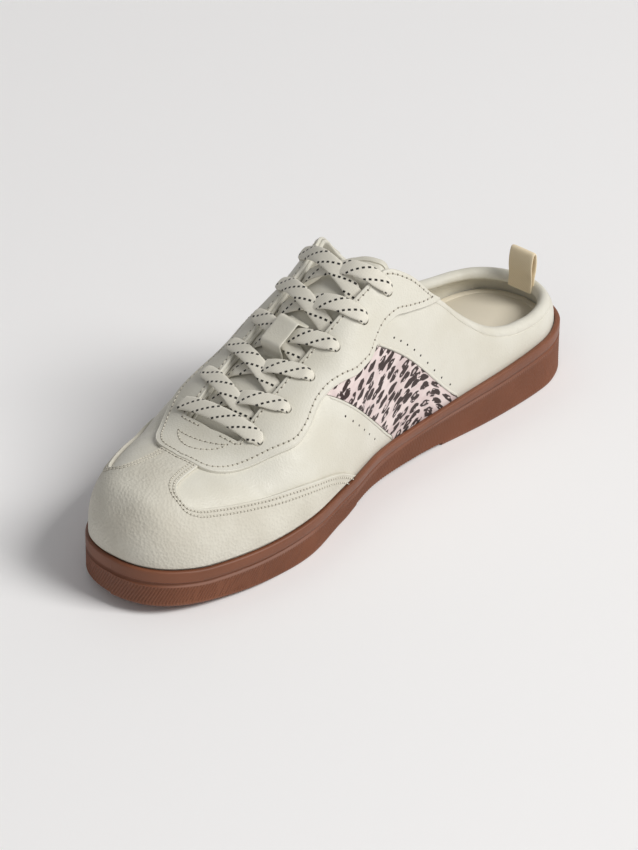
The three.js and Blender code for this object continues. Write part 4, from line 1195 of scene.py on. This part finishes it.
def from_lists(name, points, faces):
    mesh = bpy.data.meshes.new(name)
    mesh.from_pydata(points, [], faces)
    mesh.uv_layers.new(name="pattern")
    mesh.shade_smooth()
    return new_piece(name, mesh)


def frames_on(flat, heading, height):
    """Places, headings, crossings and normals on the shoe for points of the flat pattern."""
    s, g = last_of(flat)
    place = surface(s, g, np.full(len(flat), height))
    s2, g2 = last_of(flat + heading * 0.1)
    ahead = surface(s2, g2, np.full(len(flat), height)) - place
    normal = normal_at(s, g)
    ahead -= normal * (ahead * normal).sum(1, keepdims=True)
    ahead /= np.linalg.norm(ahead, axis=1, keepdims=True)
    return place, ahead, np.cross(normal, ahead), normal


def threads(name, lines, height, pitch):
    points, faces = [], []
    for line in lines:
        marks = evenly(line, pitch)
        middles = (marks[1:] + marks[:-1]) / 2
        heading = (marks[1:] - marks[:-1]) / np.linalg.norm(marks[1:] - marks[:-1], axis=1, keepdims=True)
        place, ahead, across, normal = frames_on(middles, heading, height)
        for p, a, c, n in zip(place, ahead, across, normal):
            base = len(points)
            for u, wide, lift in THREAD_ROWS:
                for k in range(6):
                    turn = math.pi * k / 3
                    ring = c * math.cos(turn) * wide + n * (math.sin(turn) * wide * 0.7)
                    q = p + a * (u - 0.5) * pitch * 0.8 + ring * THREAD / 2 + n * lift
                    points.append(tuple((q + SHIFT) * MM))
            for row in range(len(THREAD_ROWS) - 1):
                for k in range(6):
                    i, j = base + row * 6 + k, base + row * 6 + (k + 1) % 6
                    faces.append((i, i + 6, j + 6, j))
            faces.append(tuple(base + k for k in range(6)))
            faces.append(tuple(base + len(THREAD_ROWS) * 6 - 1 - k for k in range(6)))
    return from_lists(name, points, faces)


def dots(name, marks, radius, height):
    """Dark low domes at the marks, painted shade in place of holes: (flat place, heading) pairs."""
    flat = np.array([mark for mark, _ in marks])
    heading = np.array([way for _, way in marks])
    place, ahead, across, normal = frames_on(flat, heading, height)
    points, faces = [], []
    for p, a, c, n in zip(place, ahead, across, normal):
        base = len(points)
        for k in range(8):
            turn = math.pi * k / 4
            q = p + (a * math.cos(turn) + c * math.sin(turn)) * radius - n * 0.02
            points.append(tuple((q + SHIFT) * MM))
        points.append(tuple((p + n * 0.045 + SHIFT) * MM))
        points.append(tuple((p - n * 0.1 + SHIFT) * MM))
        faces += [(base + k, base + (k + 1) % 8, base + 8) for k in range(8)]
        faces += [(base + (k + 1) % 8, base + k, base + 9) for k in range(8)]
    return from_lists(name, points, faces)


def seam_marks(lines, pitch):
    marks = []
    for line in lines:
        places = evenly(line, pitch)
        ways = np.gradient(places, axis=0)
        ways /= np.linalg.norm(ways, axis=1, keepdims=True)
        marks += list(zip(places, ways))
    return marks


def ended(line, start, stop):
    """The part of a line between two distances along it; stop counts back from its end."""
    line = evenly(line, FINE)
    return line[int(start / FINE):len(line) - int(stop / FINE)]


def beside_panel(side, ends, away):
    """A line along one side of a panel, away from it towards the heel."""
    return move_line(evenly(panel_line(side, ends), FINE), side * away)


# %% Where the seams run
LENS_SAGS = (10.5, 3.0)
WAVY_SEAM, THROAT_SEAM = 2.7, 1.7
TOE_SEAM, SECOND_TOE_SEAM = 1.5, 3.4
overlay_top = CLEARANCE + OVERLAY_THICKNESS
eyestay_seams, toe_seams = [], []
for side, (outer, inner) in zip((1, -1), eyestay_parts):
    eyestay_seams.append(ended(move_line(outer, side * WAVY_SEAM), 0, 5.0))
    eyestay_seams.append(ended(move_line(inner, -side * THROAT_SEAM), 6.0, 5.0))
for side, (_, line, front) in zip((1, -1), toe_parts):
    toe_seams.append(ended(move_line(line, -side * TOE_SEAM), 1.5, 1.0))
    toe_seams.append(ended(move_line(line, -side * SECOND_TOE_SEAM), 3.5, 1.0))
    toe_seams.append(ended(move_line(front, -side * TOE_SEAM), 0, 1.5))
block_ends = flat_of(np.array([0.214, 0.229]), np.array([-0.222, 0.193]))
share = np.linspace(0, 1, 60)[:, None]
chord = block_ends[0] * (1 - share) + block_ends[1] * share
for sag in LENS_SAGS:
    eyestay_seams.append(chord - np.hstack([0 * share, sag * np.sin(np.pi * share) ** 0.8]))

# %% [markdown]
# Rows of pinholes: the panel's side, how far from it, the first hole, the pitch and the count.
# %% Pinholes beside the panels
PIN_ROWS = [(PANEL_REAR, 3.9, 14.5, 6.2, 9), (PANEL_FRONT, -4.4, 17.5, 7.6, 6)]
pin_marks = []
for side in (1, -1):
    for ends, away, first, pitch, count in PIN_ROWS:
        line = beside_panel(side, ends, away)
        for k in range(count):
            i = int((first + k * pitch) / FINE)
            if i < len(line) - 8:
                pin_marks.append((line[i], np.array([1.0, 0.0])))
print("stitched lines:", len(eyestay_seams) + len(toe_seams), "pinholes:", len(pin_marks))

# %% [markdown]
# The cut edges of the overlays are turned over a thin cord, which shows as a bright bead along the edge.
# Such a bead also borders the window of each panel.
# %% Edge beads
OVERLAY_BEAD, WINDOW_BEAD = (0.95, 0.9, 1.1), (0.02, 1.1, 0.7)
BEAD_INSET, BEAD_GAP = 0.45, 0.55


def bead(name, line, height, width, thick):
    """A cord along a flat line, thinner at its very ends."""
    line = evenly(line, 1.2)
    s, g = last_of(line)
    sizes = np.ones(len(line))
    ends = np.minimum(np.arange(len(line)), np.arange(len(line))[::-1])
    sizes *= np.where(ends < 1, 0.4, 1.0)
    centres, normals = surface(s, g, np.full(len(line), height)), normal_at(s, g)
    return band(name, centres, normals, sizes * width, sizes * thick, 10, 2.0)


toe_beads, eyestay_beads, window_beads = [], [], []
for side, (_, line, _), (outer, _) in zip((1, -1), toe_parts, eyestay_parts):
    edge = ended(move_line(line, -side * BEAD_INSET), 0.6, 1.2)
    toe_beads.append(bead(f"toe_bead_{side}", edge, *OVERLAY_BEAD))
    edge = ended(move_line(outer, side * BEAD_INSET), 0.0, 2.5)
    eyestay_beads.append(bead(f"eyestay_bead_{side}", edge, *OVERLAY_BEAD))
    for word, ends, away in (("front", PANEL_FRONT, -BEAD_GAP), ("rear", PANEL_REAR, BEAD_GAP)):
        edge = ended(beside_panel(side, ends, away), 5.0, 4.0)
        window_beads.append(bead(f"{word}_bead_{side}", edge, *WINDOW_BEAD))

# %% Sew
eyestay_thread = threads("eyestay_thread", eyestay_seams, overlay_top, EYESTAY_PITCH)
toe_thread = threads("toe_thread", toe_seams, overlay_top, TOE_PITCH)
eyestay_hole_shade_dots = dots("eyestay_hole_shade_dots", seam_marks(eyestay_seams, EYESTAY_PITCH), 0.45, overlay_top + 0.03)
toe_hole_shade_dots = dots("toe_hole_shade_dots", seam_marks(toe_seams, TOE_PITCH), 0.4, overlay_top + 0.03)
# The pinholes are painted shade as well: dark dots lie on uncut leather in place of punched holes.
pinhole_shade_dots = dots("pinhole_shade_dots", pin_marks, 0.52, 0.02)

# %% [markdown]
# ## Materials
# Colours are given as a screen shows them. The weave, the braid and the print use the flat places as
# their texture space, scaled to millimetres, so that they run along each piece as on real cloth. The
# grain of the leathers and the rubber is set by places in the frame instead.
# %% Node helpers
def rgb(code):
    """A screen colour such as 8B5540 as the four linear numbers that a shader needs."""
    parts = [int(code[i:i + 2], 16) / 255 for i in (0, 2, 4)]
    return [v / 12.92 if v <= 0.04045 else ((v + 0.055) / 1.055) ** 2.4 for v in parts] + [1.0]


WEAVE_PITCH = 0.8


class Finish:
    """A material with one Principled shader and a short way to add nodes to it."""

    uv = "pattern"

    def __init__(self, name, color, roughness, **sockets):
        self.material = bpy.data.materials.new(name)
        self.material.use_nodes = True
        self.tree = self.material.node_tree
        self.shader = self.tree.nodes["Principled BSDF"]
        self.set("Base Color", rgb(color))
        self.set("Roughness", roughness)
        self.set("IOR", 1.5)
        for socket, value in sockets.items():
            self.set(socket.replace("_", " "), value)

    def set(self, socket, value):
        target = self.shader.inputs[socket]
        if hasattr(value, "node"):
            self.tree.links.new(value, target)
        else:
            target.default_value = value

    def add(self, kind, settings, output, **inputs):
        node = self.tree.nodes.new(kind)
        for key, value in settings.items():
            setattr(node, key, value)
        for key, value in inputs.items():
            socket = node.inputs[int(key[1:])] if key[1:].isdigit() else node.inputs[key.replace("_", " ")]
            if hasattr(value, "node"):
                self.tree.links.new(value, socket)
            else:
                socket.default_value = value
        return node.outputs[output]

    def math(self, operation, a, b=0.0, c=0.0):
        return self.add("ShaderNodeMath", {"operation": operation}, 0, i0=a, i1=b, i2=c)

    def span(self, value, low, high, to_low=0.0, to_high=1.0):
        return self.add("ShaderNodeMapRange", {"interpolation_type": "SMOOTHSTEP"}, 0, Value=value,
                        From_Min=low, From_Max=high, To_Min=to_low, To_Max=to_high)

    def mix(self, share, a, b):
        a, b = (rgb(v) if isinstance(v, str) else v for v in (a, b))
        return self.add("ShaderNodeMix", {"data_type": "RGBA"}, 2, i0=share, i6=a, i7=b)

    def pattern(self, scale=(1.0, 1.0)):
        """Flat places in millimetres, stretched by scale."""
        flat = self.add("ShaderNodeUVMap", {"uv_map": self.uv}, 0)
        return self.add("ShaderNodeMapping", {}, 0, Vector=flat,
                        Scale=(1000 * scale[0], 1000 * scale[1], 1000.0))

    def round_and_along(self):
        """The two flat places of a band: round its section, and along it."""
        flat = self.pattern()
        return [self.add("ShaderNodeSeparateXYZ", {}, output, i0=flat) for output in (0, 1)]

    def threads(self, place):
        """0 between two threads of a weave and 1 on top of one."""
        return self.math("ABSOLUTE", self.math("SINE", self.math("MULTIPLY", place, math.pi / WEAVE_PITCH)))

    def from_middle(self, place, pitch):
        """Distance from the middle of each pitch, as a share of the pitch."""
        share = self.math("FRACT", self.math("DIVIDE", place, pitch))
        return self.math("ABSOLUTE", self.math("SUBTRACT", share, 0.5))

    def space(self):
        """Places in the frame, in millimetres."""
        place = self.add("ShaderNodeNewGeometry", {}, 0)
        return self.add("ShaderNodeVectorMath", {"operation": "SCALE"}, 0, i0=place, Scale=1000.0)

    def noise(self, at, size, detail=2.0, kind="3D"):
        return self.add("ShaderNodeTexNoise", {"noise_dimensions": kind}, 0, Vector=at, Scale=1.0 / size,
                        Detail=detail)

    def cells(self, at, size, output="Distance", kind="3D", randomness=1.0):
        return self.add("ShaderNodeTexVoronoi", {"voronoi_dimensions": kind}, output, Vector=at,
                        Scale=1.0 / size, Randomness=randomness)

    def bump(self, height, depth, normal=None):
        """Bumps of so many millimetres."""
        extra = {} if normal is None else {"Normal": normal}
        return self.add("ShaderNodeBump", {}, 0, Height=height, Distance=depth * MM, Strength=1.0,
                        **extra)


def leather(name, color, deep, roughness, grain, depth, crease):
    m = Finish(name, color, roughness, Specular_IOR_Level=0.42)
    at = m.space()
    tone = m.noise(at, 22.0, 3.0)
    m.set("Base Color", m.mix(m.span(tone, 0.3, 0.7), color, deep))
    m.set("Roughness", m.span(m.noise(at, 5.0), 0.3, 0.7, roughness - 0.05, roughness + 0.07))
    large = m.bump(m.noise(at, 16.0, 1.0), crease)
    pores = m.cells(at, grain)
    m.set("Normal", m.bump(pores, depth, normal=large))
    return m.material


# %% Leathers and thread
smooth_leather = leather("smooth full-grain leather", "D4D1C6", "CDC9BC", 0.48, 0.8, 0.07, 0.3)
grained_leather = leather("tumbled nubuck", "D1CDC1", "C5C0B3", 0.7, 1.2, 0.2, 0.3)
thread_look = Finish("bonded nylon thread", "D2CDBF", 0.55).material
# Painted shade: the needle holes are grey dots that stand in for the shade inside each hole.
needle_hole_shade_look = Finish("needle hole", "7A7265", 0.9).material
# Painted shade: the punched holes are near-black dots that stand in for the shade inside each hole.
pinhole_shade_look = Finish("punched hole", "28221D", 0.9).material


def woven(name, color, deep, pitch, depth, uv="pattern"):
    """Plain weave: two sets of threads at right angles, with painted shade darker between the threads."""
    m = Finish(name, color, 0.9, Sheen_Weight=0.12)
    m.uv = uv
    look = {"Vector": m.pattern(), "Scale": 0.314 / pitch, "Distortion": 0.4}
    x, y = (m.add("ShaderNodeTexWave", {"bands_direction": way}, 1, **look) for way in ("X", "Y"))
    weave = m.math("MAXIMUM", x, y)
    # Painted shade: the cloth is darker between the threads than on top of them.
    m.set("Base Color", m.mix(m.span(weave, 0.2, 0.9), deep, color))
    m.set("Normal", m.bump(weave, depth))
    return m.material


lining_look = woven("brushed lining cloth", "F7EFDC", "EDE3CC", 0.9, 0.06)
insole_look = woven("insole cloth", "E8E0CF", "DCD3C0", 1.1, 0.08)

# %% [markdown]
# The printed cloth has dark spots on pale pink. Every spot is a cell of a Voronoi pattern, bent by
# noise. Some have a lighter heart, and a second noise takes bites out of them.
# %% Printed cloth
SPOT_GAP = 5.5
SPOT_SQUEEZE = (1.5, 0.82)


def printed():
    m = Finish("printed brushed cloth", "DCCBC8", 0.82, Sheen_Weight=0.2)
    flat = m.pattern(SPOT_SQUEEZE)
    wander = m.add("ShaderNodeTexNoise", {"noise_dimensions": "2D"}, 1, Vector=flat, Scale=1 / 3.0,
                   Detail=1.0)
    shift = m.add("ShaderNodeVectorMath", {"operation": "MULTIPLY_ADD"}, 0, i0=wander,
                  i1=(2.2, 2.2, 0.0), i2=flat)
    far = m.cells(shift, SPOT_GAP, "Distance", "2D", 0.7)
    color = m.cells(shift, SPOT_GAP, "Color", "2D", 0.7)
    kind = m.add("ShaderNodeSeparateColor", {}, 0, i0=color)
    spot = m.span(far, 0.44, 0.37)
    bites = m.span(m.noise(flat, 2.6, 1.0, "2D"), 0.66, 0.72)
    spot = m.math("MULTIPLY", spot, m.math("SUBTRACT", 1.0, bites))
    heart = m.math("MULTIPLY", m.span(far, 0.17, 0.1), m.span(kind, 0.7, 0.75))
    spot = m.math("MULTIPLY", spot, m.math("SUBTRACT", 1.0, m.math("MULTIPLY", heart, 0.75)))
    ground = m.mix(m.span(m.noise(flat, 9.0), 0.35, 0.65), "DDCECB", "CDBBB9")
    m.set("Base Color", m.mix(spot, ground, "2E1C1A"))
    m.set("Normal", m.bump(m.noise(flat, 0.6), 0.08))
    return m.material


print_look = printed()

# %% [markdown]
# The lace is a braid with a dark tracer thread, which shows as slanting rows of dashes. Across the
# lace is U and along it is V. A dash is dark where it is both near a slanting line and in the dark part
# of its pitch.
# %% Lace, tape and rubber
LACE_SLANT = math.radians(32)
TRACER_GAP = 10.0
DASH_PITCH = 2.4


def braid():
    m = Finish("braided cotton lace", "E0DBCD", 0.88, Sheen_Weight=0.15)
    m.uv = "UVMap"
    u, v = m.round_and_along()
    rise = m.math("MULTIPLY_ADD", u, -1 / math.tan(LACE_SLANT), v)
    near = m.span(m.from_middle(rise, TRACER_GAP), 0.075, 0.105, 1.0, 0.0)
    down = m.math("MULTIPLY_ADD", v, math.cos(LACE_SLANT), m.math("MULTIPLY", u, math.sin(LACE_SLANT)))
    dark = m.math("MULTIPLY", near, m.span(m.from_middle(down, DASH_PITCH), 0.22, 0.3, 1.0, 0.0))
    weave = m.math("MAXIMUM", *(m.threads(m.math(way, v, u)) for way in ("ADD", "SUBTRACT")))
    # Painted shade: the lace is darker between the threads of its weave than on top of them.
    cloth = m.mix(m.span(weave, 0.3, 1.0), "CCC6B7", "DFDBCF")
    m.set("Base Color", m.mix(dark, cloth, "15120F"))
    m.set("Normal", m.bump(weave, 0.06))
    return m.material


def tape():
    m = Finish("cotton twill tape", "DCCB9C", 0.9, Sheen_Weight=0.15)
    m.uv = "UVMap"
    u, v = m.round_and_along()
    rib = m.threads(m.math("ADD", v, u))
    # Painted shade: the tape is darker between its twill ribs than on top of them.
    m.set("Base Color", m.mix(m.span(rib, 0.1, 0.9), "E2D0AE", "EDDDBF"))
    m.set("Normal", m.bump(rib, 0.05))
    return m.material


def rubber():
    m = Finish("gum rubber", "7A4A32", 0.5, Specular_IOR_Level=0.45)
    at = m.space()
    m.set("Base Color", m.mix(m.span(m.noise(at, 30.0, 2.0), 0.3, 0.7), "7C4B33", "71432C"))
    m.set("Normal", m.bump(m.noise(at, 0.5, 2.0), 0.03))
    return m.material


lace_look, tape_look, gum_look = braid(), tape(), rubber()

# %% [markdown]
# ## Put it together
# Stitches are joined to their piece. Every piece is then put on the body that it moves with, and the
# solid that it stands for is hidden.
# %% Dress the pieces
def wear(obj, *looks):
    obj.data.materials.clear()
    for look in looks:
        obj.data.materials.append(look)


wear(upper, smooth_leather, lining_look)
worn = [(pinhole_shade_dots, pinhole_shade_look), (eyestay_thread, thread_look), (toe_thread, thread_look)]
worn += [(eyestay_hole_shade_dots, needle_hole_shade_look), (toe_hole_shade_dots, needle_hole_shade_look), (toe_overlay, grained_leather)]
worn += [(eyestay_piece, smooth_leather), (tongue, smooth_leather), (keeper, smooth_leather)]
worn += [(sole, gum_look), (insole, insole_look), (heel_loop, tape_look)]
worn += [(piece, print_look) for piece in panels.values()]
worn += [(piece, lace_look) for piece in lace_pieces.values()]
for piece in (*toe_beads, *eyestay_beads, *window_beads):
    worn.append((piece, smooth_leather))
    piece.data.uv_layers[0].name = "pattern"
for piece, look in worn:
    wear(piece, look)
upper = join([upper, pinhole_shade_dots, *window_beads], "upper_leather")
eyestay_piece = join([eyestay_piece, eyestay_thread, eyestay_hole_shade_dots, *eyestay_beads], "eyestay_leather")
toe_overlay = join([toe_overlay, toe_thread, toe_hole_shade_dots, *toe_beads], "toe_cap")
shown = [
    (upper, "upper", "smooth_leather"), (eyestay_piece, "eyestay", "smooth_leather"),
    (toe_overlay, "toe_overlay", "grained_leather"), (panels[1], "side_panel_medial", "printed_cloth"),
    (panels[-1], "side_panel_lateral", "printed_cloth"), (tongue, "tongue", "smooth_leather"),
    (keeper, "tongue_keeper", "smooth_leather"), (sole, "outsole", "gum_rubber"),
    (insole, "insole", "insole_cloth"), (heel_loop, "heel_loop", "webbing"),
]
shown += [(piece, node, "lace") for node, piece in lace_pieces.items()]
for obj, node, slot in shown:
    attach(obj, "root")
    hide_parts(node)
print("pieces:", len(shown), "faces:", sum(len(obj.data.polygons) for obj, _, _ in shown))
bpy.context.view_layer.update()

# %% [markdown]
# ## Stage
# The photograph was taken on a pale seamless sweep, under one large soft light from the right and a
# weaker one from above and in front. The sweep is a floor that curves up far behind the shoe.
# %% Sweep
SWEEP_WIDTH, SWEEP_FRONT, SWEEP_BACK, SWEEP_RISE = 9.0, 3.0, 3.5, 3.0
SWEEP_BEND = 1.2
flat_end = SWEEP_BACK - SWEEP_BEND
profile = [(-SWEEP_FRONT, 0.0), (flat_end, 0.0)]
for a in np.linspace(0.1, math.pi / 2, 16):
    profile.append((flat_end + SWEEP_BEND * math.sin(a), SWEEP_BEND - SWEEP_BEND * math.cos(a)))
profile.append((SWEEP_BACK, SWEEP_RISE))
facing = Vector((-CAMERA_LOOK.x, -CAMERA_LOOK.y, 0)).normalized()
sideways = Vector((-facing.y, facing.x, 0))
points = []
for distance, up in profile:
    for across in (-SWEEP_WIDTH / 2, SWEEP_WIDTH / 2):
        p = sideways * across - facing * distance
        points.append((p.x, p.y, up))
faces = [(2 * i, 2 * i + 1, 2 * i + 3, 2 * i + 2) for i in range(len(profile) - 1)]
sweep = from_lists("paper_sweep", points, faces)
wear(sweep, Finish("matt white paper", "F4F3F4", 0.95).material)

# %% Lights
def soft_light(name, place, target, size, power, color):
    data = bpy.data.lights.new(name, "AREA")
    data.size, data.energy, data.color = size, power, rgb(color)[:3]
    light = bpy.data.objects.new(name, data)
    bpy.context.scene.collection.objects.link(light)
    light.location = place
    light.rotation_mode = "QUATERNION"
    light.rotation_quaternion = (Vector(target) - Vector(place)).to_track_quat("-Z", "Y")


soft_light("key", (2.6, 0.9, 2.6), (0, 0, 0.04), 1.7, 128, "FFFEFB")
soft_light("front", (1.2, -2.6, 1.8), (0, 0, 0.05), 1.6, 7, "FFFFFF")
bpy.context.scene.view_settings.view_transform = "Standard"
WORLD_LIGHT = 0.26
world = bpy.data.worlds.new("world")
bpy.context.scene.world = world
world.use_nodes = True
world.node_tree.nodes["Background"].inputs[0].default_value = (1.0, 1.0, 1.0, 1.0)
world.node_tree.nodes["Background"].inputs[1].default_value = WORLD_LIGHT
